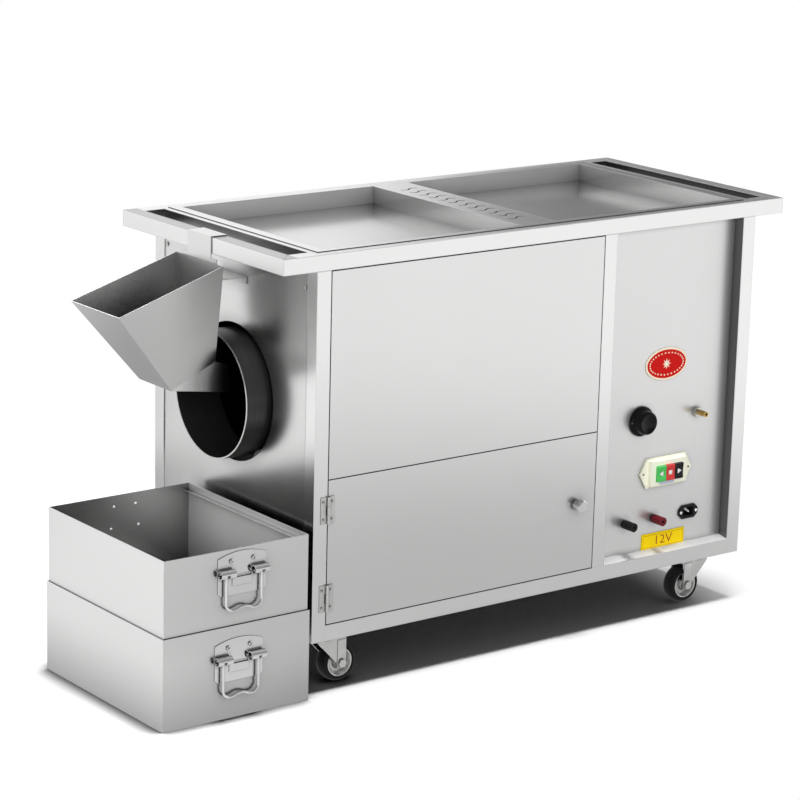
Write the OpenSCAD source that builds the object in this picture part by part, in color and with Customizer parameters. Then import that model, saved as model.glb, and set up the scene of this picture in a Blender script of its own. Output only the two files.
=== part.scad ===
// Chestnut roaster on casters: tube frame cabinet, warming deck, turning drum,
// hook-on hopper and two catch bins.
// Inside the modules x runs from the left end of the table rim, y from the front face, z from the floor.

/* [Table] */
// Length of the table rim
table_l = 1200; // [1100:10:1400]
// Depth of the table rim, front to back
table_w = 533; // [500:1:620]
// Height of the table rim above the floor
table_h = 820; // [790:5:880]
// How far the rim stands out past the cabinet at each end
end_overhang = 73; // [66:1:100]
// Thickness of the deck sheet on the rim
deck_t = 1.2; // [0.8:0.1:2]
// Bare strip of the end cross rail beside the deck
deck_reveal_x = 14; // [5:1:25]
// Bare strip of the front and rear rim beside the deck
deck_reveal_y = 21; // [10:1:26]
// Deck border beside a pan, left and right
pan_border_x = 21; // [17:1:60]
// Deck border beside a pan, front and rear
pan_border_y = 14; // [11:1:50]
// Width of the vent strip between the pans
divider_w = 84; // [60:1:140]
// Depth of the pans
pan_depth = 34; // [20:1:50]
// Number of vents in the strip
vent_count = 12; // [4:1:14]
// Spacing of the vents
vent_pitch = 30.7; // [20:0.1:32]
// Length of a vent's S shape
vent_l = 41; // [30:1:50]
// How far the bends of a vent stand off its middle line
vent_rise = 5.5; // [4:0.5:8]
// Width of a vent
vent_w = 3.4; // [2:0.1:5]

/* [Frame] */
// Side of the square tube
tube = 30; // [25:1:36]
// Wall of the square tube
tube_wall = 1.5; // [1:0.1:3]
// Thickness of the panel sheet
sheet = 1.5; // [1:0.1:2]
// Weld gap at the end of a tube
weld_gap = 0.2; // [0.1:0.1:0.5]
// How far the end panels lie behind the posts' faces
end_recess = 2; // [0.5:0.5:4]

/* [Front] */
// Width of the control bay, from the mullion to the right posts
control_w = 327; // [310:1:360]
// Height of the split between upper panel and lower door
door_top = 405; // [380:5:460]
// Gap round the upper panel and the lower door
door_gap = 2; // [1:0.5:4]
// Depth of the folded edges of panel and door
door_depth = 18; // [12:1:24]
// Depth of the recess that holds the control panel
control_recess = 25; // [18:1:28]

/* [Hinges and latch] */
// Height of a hinge
hinge_h = 51; // [40:1:80]
// Width of a hinge leaf
hinge_leaf_w = 14; // [10:1:20]
// Thickness of a hinge leaf
hinge_t = 1.5; // [1:0.1:2.5]
// Radius of the hinge knuckle
knuckle_r = 3.2; // [2.6:0.1:5]
// Radius of the hinge pin
hinge_pin_r = 1.5; // [1:0.1:2]
// Height of the lower hinge's middle
hinge_low_z = 182; // [165:1:220]
// Height of the upper hinge's middle
hinge_high_z = 349; // [280:1:375]
// Radius of the door knob
door_knob_r = 12.5; // [9:0.5:18]
// How far the door knob stands out
door_knob_out = 20; // [14:1:30]
// Distance of the door knob from the mullion
door_knob_in = 45; // [30:1:80]
// Height of the door knob
door_knob_z = 266; // [220:1:320]
// Radius of the latch spindle
latch_spindle_r = 5; // [3:0.5:7]
// Length of the latch cam from the spindle's middle
latch_reach = 62; // [52:1:80]
// Width of the latch cam
latch_w = 14; // [10:1:20]
// Thickness of the latch cam
latch_t = 2.5; // [1.5:0.5:4]

/* [Drum] */
// Drop from the table top to the drum axis
drum_drop = 304; // [295:1:315]
// Outer radius of the drum neck
neck_r = 120.5; // [112:0.5:124]
// Wall of the drum neck
neck_wall = 3; // [2:0.5:6]
// How far the neck stands out of the cabinet end
neck_out = 48; // [40:1:60]
// Length of the neck behind the cabinet end
neck_in = 47; // [46:1:60]
// Gap between the neck and the end panel
neck_gap = 10.5; // [6:0.5:14]
// Outer radius of the drum shell
drum_r = 175; // [160:1:185]
// Wall of the drum shell
drum_wall = 2; // [1.5:0.5:4]
// Length of the cone between neck and shell
cone_l = 60; // [40:5:80]
// Gap between the drum's end plate and the mullion
drum_back_gap = 77; // [60:1:120]
// Thickness of the drum's end plate
end_plate_t = 3; // [2:0.5:6]
// Radius of the drum shaft
shaft_r = 12.5; // [10:0.5:16]
// Height of the lifting flights
flight_h = 38; // [20:1:50]
// Thickness of the lifting flights
flight_t = 3; // [2:0.5:5]
// Flight plates in each of the two helices
flight_count = 7; // [4:1:8]
// Turn of the helix from one flight plate to the next, in degrees
flight_step = 28; // [15:1:32]
// Radius of the trunnion rollers
roller_r = 25; // [18:1:30]
// Width of the trunnion rollers
roller_w = 18; // [12:1:20]
// Radius of the roller axles
roller_axle_r = 5; // [4:0.5:8]
// Angle of a roller from straight below the drum, in degrees
roller_angle = 35; // [28:1:45]

/* [Drive] */
// Radius of the drum pulley under the belt
drum_pulley_r = 90; // [70:1:110]
// Radius of the motor pulley under the belt
motor_pulley_r = 32; // [25:1:45]
// Width of the belt
belt_w = 18; // [12:1:24]
// Thickness of the belt
belt_t = 4; // [3:0.5:6]
// Height of the motor axis
motor_z = 235; // [225:1:260]
// Radius of the motor shaft
motor_shaft_r = 7; // [5:0.5:10]
// Radius of the motor can
motor_r = 38; // [30:1:45]
// Length of the motor can
motor_l = 124; // [90:1:150]
// Length, width and height of the gearbox
gearbox = [70, 84, 90];
// Length, width and height of the power supply
supply = [215, 100, 50];

/* [Burner] */
// Radius of a burner tube
burner_r = 16; // [12:1:20]
// Wall of a burner tube
burner_wall = 3; // [2:0.5:5]
// Number of burner tubes
burner_count = 3; // [1:1:3]
// Spacing of the burner tubes
burner_pitch = 90; // [60:1:100]
// Gap between the drum and the burner tubes
burner_gap = 35; // [25:1:60]
// Number of flame ports in a tube
port_count = 16; // [8:1:20]
// Radius of a flame port
port_r = 1.5; // [1:0.1:2.5]
// Radius of the gas pipe
pipe_r = 6; // [5:0.5:8]
// Length of a gas jet
jet_l = 22; // [15:1:30]
// Gap between a gas jet and its burner tube
jet_gap = 2; // [1:0.5:6]

/* [Hopper] */
// Thickness of the hopper sheet
hopper_t = 1.5; // [1:0.1:2.5]
// How far the hopper's lip stands out from its rear wall
hopper_reach = 222; // [180:1:250]
// Drop from the table top to the rear rim of the hopper
hopper_drop = 46; // [40:1:60]
// Drop from the table top to the lip of the hopper
hopper_lip_drop = 115; // [90:1:140]
// Width of the hopper at its rear rim
hopper_rear_w = 156; // [130:1:190]
// Width of the chute
chute_w = 107; // [80:1:120]
// Drop from the table top to where the sloping wall meets the chute
chute_drop = 270; // [250:1:280]
// How far the sloping wall's foot stands out from the rear wall
chute_out = 95; // [70:1:120]
// Drop from the table top to the foot of the rear wall
chute_mouth_drop = 227; // [215:1:235]
// Drop from the table top to the chute's end
chute_end_drop = 288; // [284:1:305]
// How far the chute reaches into the drum neck
chute_in = 4; // [2:1:40]
// Fall of the chute's side walls from the rear wall to the chute's end
chute_step = 10; // [4:1:20]
// Width of the hook over the rim
hook_w = 76; // [50:1:110]
// Thickness of hook and stand-off
hook_t = 2; // [1.5:0.5:4]
// Depth of the hook's inner lip
hook_lip = 18; // [10:1:22]
// Width of the hook's foot on the rear wall
hook_foot_w = 114; // [90:1:150]
// Drop from the table top to the stand-off
standoff_drop = 79; // [65:1:110]
// Width of the stand-off
standoff_w = 84; // [50:1:120]
// Height of the stand-off's turned-down edge
standoff_h = 14; // [8:1:25]

/* [Bins] */
// Length of the lower bin, along the table
bin_l = 312; // [250:1:340]
// Width of the lower bin, front to back
bin_w = 401; // [340:1:440]
// Height of the lower bin
bin_low_h = 172; // [168:1:200]
// Height of the upper bin
bin_up_h = 154; // [140:1:170]
// Thickness of the bin sheet
bin_t = 1.5; // [1:0.1:2.5]
// Gap between the bins and the cabinet end
bin_gap = 14; // [9:1:20]
// How far the bins stand in front of the cabinet
bin_forward = 12.5; // [0:0.5:40]
// How deep the upper bin sits in the lower one
nest_depth = 12; // [8:1:25]
// Gap round the nested upper bin
nest_gap = 1.5; // [0.5:0.5:3]
// Width of the ledge that carries the upper bin
ledge_w = 10; // [6:1:20]

/* [Bin handles] */
// Width of a handle plate
handle_w = 102; // [90:1:120]
// Height of the handle plate above its barrels' axis
handle_up = 37; // [28:1:40]
// Height of the handle plate below its barrels' axis
handle_down = 42; // [32:1:50]
// Drop of the arched top of the handle plate towards its sides
handle_arch = 10; // [4:1:14]
// Thickness of the handle plate
handle_t = 1.5; // [1:0.1:2.5]
// Outer radius of the handle's barrels
curl_r = 8; // [6.5:0.5:9]
// Length of a barrel
curl_l = 31; // [26:1:36]
// Height of the slot between the barrels
strap_slot = 6; // [3:0.5:8]
// Drop from the barrels' axis to the raised strap
strap_drop = 10.5; // [9:0.5:14]
// Height of the raised strap
strap_h = 14; // [8:1:18]
// Radius of the bail wire
bail_r = 2.5; // [2:0.1:3.2]
// Distance between the middles of the bail's arms
bail_w = 75; // [66:1:84]
// Length of the bail below its axis
bail_drop = 66; // [55:1:80]
// Gap between the bail's ends and the barrels they rest in
bail_gap = 0.3; // [0.2:0.1:0.6]
// Drop from the upper bin's rim to the barrels
upper_handle_drop = 42.5; // [40:0.5:60]
// Drop from the lower bin's rim to the barrels
lower_handle_drop = 59.5; // [50:0.5:80]
// Shift of the upper handles from the bin's middle
upper_handle_shift = 9.5; // [0:0.5:20]
// Shift of the lower handles from the bin's middle
lower_handle_shift = 2.5; // [0:0.5:20]

/* [Casters] */
// Height of a caster
caster_h = 100; // [92:1:120]
// Radius of a wheel
wheel_r = 37.5; // [30:0.5:40]
// Width of a wheel
wheel_w = 28; // [20:1:36]
// Radius of the wheel's hub rim
hub_r = 28; // [20:0.5:29]
// Offset of the wheel axle from the swivel axis
trail = 30; // [20:1:36]
// Side of the caster plate
caster_plate = 60; // [56:1:80]
// Thickness of the caster plate
caster_plate_t = 3; // [2:0.5:5]
// Distance of the left swivels from the cabinet end
caster_in_left = 60.5; // [60:0.5:80]
// Distance of the right swivels from the cabinet end
caster_in_right = 75; // [60:1:100]
// Distance of the swivels from the front and rear face
caster_in_y = 50; // [40:1:80]
// Radius of the wheel axle
axle_r = 6; // [4:0.5:8]

/* [Controls] */
// Height of the gas knob and the gas nipple
gas_z = 402; // [380:1:430]
// Gas knob, measured from the mullion
gas_knob_x = 102; // [60:1:160]
// Radius of the gas knob's skirt
gas_knob_r = 30; // [22:1:34]
// How far the gas knob stands out of the panel
gas_knob_out = 25; // [18:1:34]
// Gas nipple, measured from the mullion
nipple_x = 248; // [180:1:290]
// Radius of the gas nipple's tail
nipple_r = 5.5; // [4:0.5:7]
// How far the gas nipple stands out of the panel
nipple_out = 30; // [24:1:40]
// Switch middle, measured from the mullion
switch_x = 171; // [120:1:220]
// Height of the switch middle
switch_z = 292; // [270:1:310]
// Length of the switch base, tip to tip
switch_l = 136; // [120:1:160]
// Height of the switch base
switch_h = 60; // [50:1:70]
// Width of a button
button_w = 21.6; // [16:0.1:24]
// Height of a button
button_h = 31; // [24:0.5:36]
// Travel of a button
button_travel = 4; // [2:0.5:5]
// Gap round a button
button_gap = 0.4; // [0.3:0.1:0.8]
// Black binding post, measured from the mullion
negative_x = 70; // [30:1:90]
// Red binding post, measured from the mullion
positive_x = 146; // [110:1:190]
// Height of the binding posts and the mains inlet
socket_z = 197; // [180:1:215]
// Radius of a binding post cap
post_r = 9; // [7:0.5:11]
// How far a binding post stands out of the panel
post_out = 31; // [26:1:40]
// Mains inlet, measured from the mullion
inlet_x = 238; // [215:1:280]
// Radius of the 4 mm socket in a binding post
socket_r = 2; // [1.5:0.1:2.2]

/* [Clearances] */
// Running clearance of pins and shafts
run_gap = 0.05; // [0.02:0.01:0.1]
// Gap between moving faces that don't touch
free_gap = 0.3; // [0.2:0.1:0.6]

/* [Hidden] */
$fn = 48;

// Cabinet
cab_x0 = end_overhang;
cab_x1 = table_l - end_overhang;
in_x0 = cab_x0 + tube;
in_x1 = cab_x1 - tube;
in_y0 = tube;
in_y1 = table_w - tube;
rim_z = table_h - tube;
base_top = caster_h + tube;
axis_y = table_w / 2;
mullion_x = in_x1 - control_w - tube;
bulkhead_x = mullion_x + tube;
panel_y = control_recess;
end_x = cab_x0 + end_recess;
vent_r = (vent_l * vent_l / 16 + vent_rise * vent_rise) / (2 * vent_rise);

// Deck and pans
deck_x0 = cab_x0 + deck_reveal_x;
deck_x1 = cab_x1 - deck_reveal_x;
deck_y0 = deck_reveal_y;
deck_y1 = table_w - deck_reveal_y;
deck_top = table_h + deck_t;
pan_x0 = deck_x0 + pan_border_x;
pan_x1 = deck_x1 - pan_border_x;
pan_y0 = deck_y0 + pan_border_y;
pan_y1 = deck_y1 - pan_border_y;
pan_z = deck_top - pan_depth - sheet;
divider_x0 = (table_l - divider_w) / 2;
divider_x1 = divider_x0 + divider_w;

// Lower door and its hinge line
door_x0 = in_x0 + door_gap;
door_x1 = mullion_x - door_gap;
hinge_x = in_x0 + door_gap / 2;
hinge_y = -knuckle_r;
latch_x = mullion_x - door_knob_in;
latch_y = tube + 1;
knuckle_cut = hinge_h / 6;

// Drum and its supports, along x
drum_axis_z = table_h - drum_drop;
neck_x0 = cab_x0 - neck_out;
neck_x1 = cab_x0 + neck_in;
shell_x0 = neck_x1 + cone_l;
drum_x1 = mullion_x - drum_back_gap;
shell_x1 = drum_x1 - end_plate_t;
drum_l = shell_x1 - shell_x0;
drum_in_r = drum_r - drum_wall;
roller_side_gap = 1;
roller_cheek_t = 3;
roller_fork_l = roller_w + 2 * roller_side_gap + 2 * roller_cheek_t;
roller_axle_end = 1;
roller_x = end_x + sheet + free_gap + roller_axle_end + roller_fork_l / 2;
roller_foot = 38;
roller_reach = neck_r + roller_r + free_gap;
roller_dy = roller_reach * sin(roller_angle);
roller_z = drum_axis_z - roller_reach * cos(roller_angle);
drum_rail_x = end_x + sheet + free_gap;
drum_rail_z = roller_z - roller_r - roller_foot - tube;
flight_margin = 20;
flight_pitch = (drum_l - 2 * flight_margin) / flight_count;
flight_mid_r = drum_in_r - flight_h / 2;
flight_turn = flight_mid_r * flight_step * PI / 180;
flight_angle = atan2(flight_turn, flight_pitch);
flight_l = 0.9 * norm([flight_turn, flight_pitch]);
flight_half = (flight_l * sin(flight_angle) + flight_t * cos(flight_angle)) / 2;
flight_top = sqrt(drum_in_r * drum_in_r - flight_half * flight_half) - free_gap;

// Drive, along x
bearing_side = 96;
bearing_t = 12;
bearing_boss_l = 20;
bearing_x1 = bulkhead_x + sheet + bearing_t + bearing_boss_l;
pulley_x = bearing_x1 + 10;
pulley_w = belt_w + 6;
shaft_x1 = pulley_x + pulley_w + 10;
gearbox_x = pulley_x + pulley_w + 12;
gearbox_bore_l = 24;
beam_gap = 35;
stand_t = 3;
stand_foot = 16;

// Burner and gas, along x
burner_z = drum_axis_z - drum_r - burner_gap - burner_r;
burner_lead = 20;
burner_x0 = shell_x0 - burner_lead;
trumpet_l = 50;
trumpet_r = burner_r + 4;
manifold_r = 12;
manifold_gap = 2;
manifold_x = mullion_x - manifold_r - manifold_gap;
burner_x1 = manifold_x - manifold_r - jet_l - jet_gap - trumpet_l;
burner_l = burner_x1 - burner_x0;
port_margin = 20;
stand_margin = 40;
stand_depth = 30;
manifold_end = 28;
feed_y = axis_y - burner_pitch - manifold_end;
feed_pipe_y = feed_y + manifold_r;
feed_x = bulkhead_x + 22;
valve_size = [40, 34, 34];
valve_y = panel_y + sheet + 20;
fitting_r = pipe_r + 3;

// Control places, along x
gas_knob_at = bulkhead_x + gas_knob_x;
nipple_at = bulkhead_x + nipple_x;
switch_at = bulkhead_x + switch_x;
negative_at = bulkhead_x + negative_x;
positive_at = bulkhead_x + positive_x;
inlet_at = bulkhead_x + inlet_x;
nipple_hex_t = 8;
nipple_hex_r = 10.5;
nipple_thread_r = nipple_r + 1.5;
nipple_block = nipple_thread_r + 3;
spindle_r = 4;
spindle_l = 22;
switch_base_t = 4;
switch_body = [94, 50];
switch_body_out = 9;
switch_face_y = panel_y - switch_base_t - switch_body_out;
button_pitch = button_w + 2 * button_gap;
button_proud = 6;
button_l = 15;
window_w = 3 * button_pitch;
window_h = button_h + 2 * button_gap;
switch_block = [window_w + 4, window_h + 6];
switch_block_l = 30;
post_collar = 4;
stud_r = socket_r + 1.2;
stud_back = 18;
inlet_flange = [50, 28];
inlet_body = [29, 21.5];
inlet_cavity = [25, 17.5];
inlet_flange_t = 3;
inlet_depth = 19;
cut_gap = 0.5;

// Hopper side profile: x, and z from the table top
hopper_x = -free_gap;
hopper_rear = [hopper_x, -hopper_drop];
hopper_lip = [hopper_x - hopper_reach, -hopper_lip_drop];
chute_foot = [hopper_x - chute_out, -chute_drop];
chute_mouth = [hopper_x, -chute_mouth_drop];
chute_end = [neck_x0 + chute_in, -chute_end_drop];
chute_wall_h = chute_end_drop - chute_mouth_drop - chute_step;
chute_run = chute_mouth - chute_foot;
hopper_up = [-chute_run[1], chute_run[0]] / norm(chute_run);
hopper_flare = (hopper_rear_w - chute_w) / 2 / ((hopper_rear - chute_foot) * hopper_up);
standoff_end = end_x - free_gap;

// Bins
bin_x1 = cab_x0 - bin_gap;
bin_x0 = bin_x1 - bin_l;
bin_y0 = -bin_forward;
bin_y1 = bin_y0 + bin_w;
nest_in = bin_t + nest_gap;
bin_up_z = bin_low_h - nest_depth;
bin_up_top = bin_up_z + bin_up_h;
bin_mid_x = (bin_x0 + bin_x1) / 2;
upper_handle_x = bin_mid_x + upper_handle_shift;
lower_handle_x = bin_mid_x + lower_handle_shift;
upper_handle_z = bin_up_top - upper_handle_drop;
lower_handle_z = bin_low_h - lower_handle_drop;
curl_bore = curl_r - handle_t - free_gap;
curl_y = -curl_r - weld_gap;
bail_z = bail_r + bail_gap - curl_bore;
bail_bend_r = 4;
arm_slot = bail_r + bail_gap + 0.2;
bend_slot = bail_bend_r + bail_gap;
handle_out = curl_r - curl_y;

// Casters
wheel_low_x = [cab_x0 + caster_in_left, cab_x1 - caster_in_right];
swivel_y = [caster_in_y, table_w - caster_in_y];
fork_t = 3;
fork_gap = 2.5;
fork_in = wheel_w / 2 + fork_gap;
crown_drop = 14;
crown_z = caster_h - caster_plate_t - crown_drop;
crown_t = 5;
kingpin_end = 3;
race_r = 22;
kingpin_r = 5;

// Middle of the part on the floor, where the frame's origin lies
x_mid = (bin_x0 + table_l) / 2;
y_mid = (bin_y0 - handle_out + table_w) / 2;

module place() {
    translate([-x_mid, -y_mid, 0]) children();
}

// Square tubes along each axis, from their low corner
module tube_x(p, l) {
    translate(p) difference() {
        cube([l, tube, tube]);
        translate([-1, tube_wall, tube_wall]) cube([l + 2, tube - 2 * tube_wall, tube - 2 * tube_wall]);
    }
}
module tube_y(p, l) {
    translate(p) difference() {
        cube([tube, l, tube]);
        translate([tube_wall, -1, tube_wall]) cube([tube - 2 * tube_wall, l + 2, tube - 2 * tube_wall]);
    }
}
module tube_z(p, l) {
    translate(p) difference() {
        cube([tube, tube, l]);
        translate([tube_wall, tube_wall, -1]) cube([tube - 2 * tube_wall, tube - 2 * tube_wall, l + 2]);
    }
}

// Round rods along each axis
module rod_x(p, r, l) {
    translate(p) rotate([0, 90, 0]) cylinder(r = r, h = l);
}
module rod_y(p, r, l) {
    translate(p) rotate([-90, 0, 0]) cylinder(r = r, h = l);
}
module rod_z(p, r, l) {
    translate(p) cylinder(r = r, h = l);
}

// Outlines given in x and z, made thick along y; and in y and z, made thick along x
module slab_y(y0, t) {
    translate([0, y0 + t, 0]) rotate([90, 0, 0]) linear_extrude(t) children();
}
module slab_x(x0, t) {
    translate([x0, 0, 0]) rotate([90, 0, 90]) linear_extrude(t) children();
}

// A turned shape about an axis along x, its profile given in radius and x
module turned_x(y, z) {
    translate([0, y, z]) rotate([0, 90, 0]) rotate_extrude() children();
}

// Sheet bent to a tray that is open at its rear
module front_tray(x0, z0, x1, z1) {
    difference() {
        translate([x0, 0, z0]) cube([x1 - x0, door_depth, z1 - z0]);
        translate([x0 + sheet, sheet, z0 + sheet])
            cube([x1 - x0 - 2 * sheet, door_depth, z1 - z0 - 2 * sheet]);
    }
}

module cabinet_frame() {
    color("gainsboro") place() {
        for (x = [cab_x0, in_x1], y = [0, in_y1]) tube_z([x, y, caster_h], rim_z - caster_h);
        for (y = [0, in_y1]) tube_z([mullion_x, y, base_top + weld_gap], rim_z - base_top - weld_gap);
        for (y = [0, in_y1]) tube_x([in_x0 + weld_gap, y, caster_h], in_x1 - in_x0 - 2 * weld_gap);
        cross_l = in_y1 - in_y0 - 2 * weld_gap;
        for (x = [cab_x0, in_x1]) tube_y([x, in_y0 + weld_gap, caster_h], cross_l);
        tube_y([drum_rail_x, in_y0 + weld_gap, drum_rail_z], cross_l);
        for (z = [drum_axis_z - beam_gap - tube, drum_axis_z + beam_gap])
            tube_y([mullion_x, in_y0 + weld_gap, z], cross_l);
        tube_x([in_x0 + weld_gap, door_depth, door_top - tube / 2], mullion_x - in_x0 - 2 * weld_gap);
        caster_pads();
    }
}

// Plates inside the bottom frame corners that the casters bolt to
module caster_pads() {
    pad = [caster_plate + 20, caster_in_y + caster_plate / 2 - tube, caster_plate_t];
    xs = [in_x0 + weld_gap, in_x1 - weld_gap - pad[0]];
    ys = [in_y0 + weld_gap, in_y1 - weld_gap - pad[1]];
    for (x = xs, y = ys) translate([x, y, caster_h]) cube(pad);
}

// Square tube along x with its ends mitred towards +y
module mitred_tube(l) {
    difference() {
        linear_extrude(tube) polygon([
            [weld_gap, 0], [l - weld_gap, 0], [l - tube - weld_gap, tube], [tube + weld_gap, tube]
        ]);
        translate([0, tube_wall, tube_wall]) cube([l, tube - 2 * tube_wall, tube - 2 * tube_wall]);
    }
}
module table_rim() {
    color("gainsboro") place() translate([0, 0, rim_z]) {
        mitred_tube(table_l);
        translate([table_l, table_w, 0]) rotate([0, 0, 180]) mitred_tube(table_l);
        translate([table_l, 0, 0]) rotate([0, 0, 90]) mitred_tube(table_w);
        translate([0, table_w, 0]) rotate([0, 0, -90]) mitred_tube(table_w);
        for (x = [cab_x0, in_x1]) tube_y([x, in_y0 + weld_gap, 0], in_y1 - in_y0 - 2 * weld_gap);
    }
}

// One S-shaped vent: two arcs, bent opposite ways
module vent() {
    for (turn = [0, 180]) rotate(turn) intersection() {
        translate([vent_l / 4, vent_rise - vent_r]) difference() {
            circle(vent_r + vent_w / 2);
            circle(vent_r - vent_w / 2);
        }
        translate([-vent_w, 0]) square([vent_l / 2 + 2 * vent_w, vent_rise + vent_w]);
    }
}

module warming_deck() {
    color("lightgray") place() translate([0, 0, table_h]) {
        linear_extrude(deck_t) difference() {
            translate([deck_x0, deck_y0]) square([deck_x1 - deck_x0, deck_y1 - deck_y0]);
            translate([pan_x0, pan_y0]) square([pan_x1 - pan_x0, pan_y1 - pan_y0]);
        }
        linear_extrude(deck_t) difference() {
            translate([divider_x0, pan_y0 + weld_gap]) square([divider_w, pan_y1 - pan_y0 - 2 * weld_gap]);
            for (i = [0 : vent_count - 1])
                translate([table_l / 2, axis_y + (i - (vent_count - 1) / 2) * vent_pitch]) vent();
        }
    }
}

// Open sheet tray hung in the deck
module pan(x0, x1) {
    difference() {
        translate([x0, pan_y0, pan_z]) cube([x1 - x0, pan_y1 - pan_y0, deck_top - pan_z]);
        translate([x0 + sheet, pan_y0 + sheet, pan_z + sheet])
            cube([x1 - x0 - 2 * sheet, pan_y1 - pan_y0 - 2 * sheet, deck_top - pan_z]);
    }
}
module left_pan() {
    color("silver") place() pan(pan_x0, divider_x0);
}
module right_pan() {
    color("silver") place() pan(divider_x1, pan_x1);
}

module upper_front_panel() {
    color("silver") place() front_tray(door_x0, door_top + door_gap / 2, door_x1, rim_z - door_gap);
}

module control_panel() {
    color("silver") place() difference() {
        translate([bulkhead_x, panel_y, base_top]) cube([in_x1 - bulkhead_x, sheet, rim_z - base_top]);
        rod_y([gas_knob_at, panel_y - 1, gas_z], spindle_r + 2, sheet + 2);
        rod_y([nipple_at, panel_y - 1, gas_z], nipple_thread_r + cut_gap, sheet + 2);
        for (x = [negative_at, positive_at]) rod_y([x, panel_y - 1, socket_z], stud_r + cut_gap, sheet + 2);
        slab_y(panel_y - 1, sheet + 2) translate([switch_at, switch_z])
            square([for (s = switch_block) s + 2 * cut_gap], center = true);
        slab_y(panel_y - 1, sheet + 2) translate([inlet_at, socket_z])
            square([for (s = inlet_body) s + 2 * cut_gap], center = true);
    }
}

// Flat sheet between the posts of one end
module end_sheet(x) {
    translate([x, in_y0, base_top]) cube([sheet, in_y1 - in_y0, rim_z - base_top]);
}
module left_end_panel() {
    color("silver") place() difference() {
        end_sheet(end_x);
        rod_x([end_x - 1, axis_y, drum_axis_z], neck_r + neck_gap, sheet + 2);
    }
}

// Right end sheet and two rear sheets; the rear one behind the drive has cooling slots
module closing_panels() {
    slot_h = 6;
    slot_rows = 6;
    slot_pitch = 22;
    slot_top = 90;
    slot_side = 20;
    slot_middle = 40;
    drive_w = in_x1 - bulkhead_x;
    slot_l = (drive_w - slot_middle) / 2 - slot_side;
    color("silver") place() {
        end_sheet(cab_x1 - end_recess - sheet);
        translate([in_x0, table_w - sheet, base_top]) cube([mullion_x - in_x0, sheet, rim_z - base_top]);
        difference() {
            translate([bulkhead_x, table_w - sheet, base_top]) cube([drive_w, sheet, rim_z - base_top]);
            for (x = [bulkhead_x + slot_side, in_x1 - slot_side - slot_l], i = [0 : slot_rows - 1])
                translate([x, table_w - sheet - 1, rim_z - slot_top - i * slot_pitch])
                    cube([slot_l, sheet + 2, slot_h]);
        }
    }
}

// Sheet floor with air slots under the burner
module floor_pan() {
    slot_w = 14;
    slot_in = 60;
    color("darkgray") place() difference() {
        translate([in_x0, in_y0, base_top - sheet]) cube([in_x1 - in_x0, in_y1 - in_y0, sheet]);
        for (y = [axis_y - burner_pitch / 2, axis_y + burner_pitch / 2])
            translate([burner_x0 + slot_in, y - slot_w / 2, base_top - sheet - 1])
                cube([burner_l - 2 * slot_in, slot_w, sheet + 2]);
    }
}

module bulkhead() {
    lap = 3;
    color("darkgray") place() difference() {
        translate([bulkhead_x, in_y0 - lap, base_top])
            cube([sheet, in_y1 - in_y0 + 2 * lap, min(pan_z, rim_z) - base_top]);
        rod_x([bulkhead_x - 1, axis_y, drum_axis_z], shaft_r + 4, sheet + 2);
        rod_x([bulkhead_x - 1, feed_pipe_y, burner_z], pipe_r + 1, sheet + 2);
    }
}

// Burner tubes with flame ports on top and an open air trumpet at the right
function burner_ys() = [
    for (i = [0 : burner_count - 1]) axis_y + (i - (burner_count - 1) / 2) * burner_pitch
];
module burner() {
    port_pitch = (burner_l - 2 * port_margin) / (port_count - 1);
    bore = burner_r - burner_wall;
    color("dimgray") place() for (y = burner_ys()) difference() {
        turned_x(y, burner_z) polygon([
            [0, burner_x0], [burner_r, burner_x0], [burner_r, burner_x1],
            [trumpet_r, burner_x1 + trumpet_l], [trumpet_r - burner_wall, burner_x1 + trumpet_l],
            [bore, burner_x1], [bore, burner_x0 + burner_wall], [0, burner_x0 + burner_wall]
        ]);
        for (i = [0 : port_count - 1])
            rod_z([burner_x0 + port_margin + i * port_pitch, y, burner_z], port_r, burner_r + 1);
    }
}

// Burner stands, motor stand and roller forks
module support_brackets() {
    color("slategray") place() {
        for (x = [burner_x0 + stand_margin, burner_x1 - stand_margin - stand_depth]) burner_stand(x);
        motor_stand();
        for (side = [-1, 1]) roller_fork(axis_y + side * roller_dy);
    }
}
module burner_stand(x) {
    half = burner_pitch * (burner_count - 1) / 2 + burner_r + stand_foot;
    slab_x(x, stand_depth) difference() {
        translate([axis_y - half, base_top]) square([2 * half, burner_z - base_top]);
        translate([axis_y - half + stand_t, base_top - 1])
            square([2 * (half - stand_t), burner_z - base_top - burner_r - stand_t + 1]);
        for (y = burner_ys()) translate([y, burner_z]) circle(burner_r + free_gap);
    }
}
module motor_stand() {
    half = gearbox[1] / 2 + 6;
    top = motor_z - gearbox[2] / 2;
    l = gearbox[0] + motor_l;
    slab_x(gearbox_x, l) difference() {
        union() {
            translate([axis_y - half, base_top]) square([2 * half, top - base_top]);
            translate([axis_y - half - stand_foot, base_top]) square([2 * (half + stand_foot), stand_t]);
        }
        translate([axis_y - half + stand_t, base_top - 1])
            square([2 * (half - stand_t), top - base_top - stand_t + 1]);
    }
}
module roller_fork(y) {
    w = 2 * roller_r * 0.9;
    eye_r = roller_axle_r + 5;
    x0 = roller_x - roller_fork_l / 2;
    z0 = drum_rail_z + tube;
    slab_x(x0, roller_fork_l) translate([y - w / 2, z0]) square([w, stand_t]);
    for (x = [x0, x0 + roller_fork_l - roller_cheek_t]) slab_x(x, roller_cheek_t) {
        translate([y, roller_z]) circle(eye_r);
        polygon([[y - w / 2, z0], [y + w / 2, z0], [y + eye_r, roller_z], [y - eye_r, roller_z]]);
    }
    rod_x([x0 - roller_axle_end, y, roller_z], roller_axle_r, roller_fork_l + 2 * roller_axle_end);
}

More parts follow.
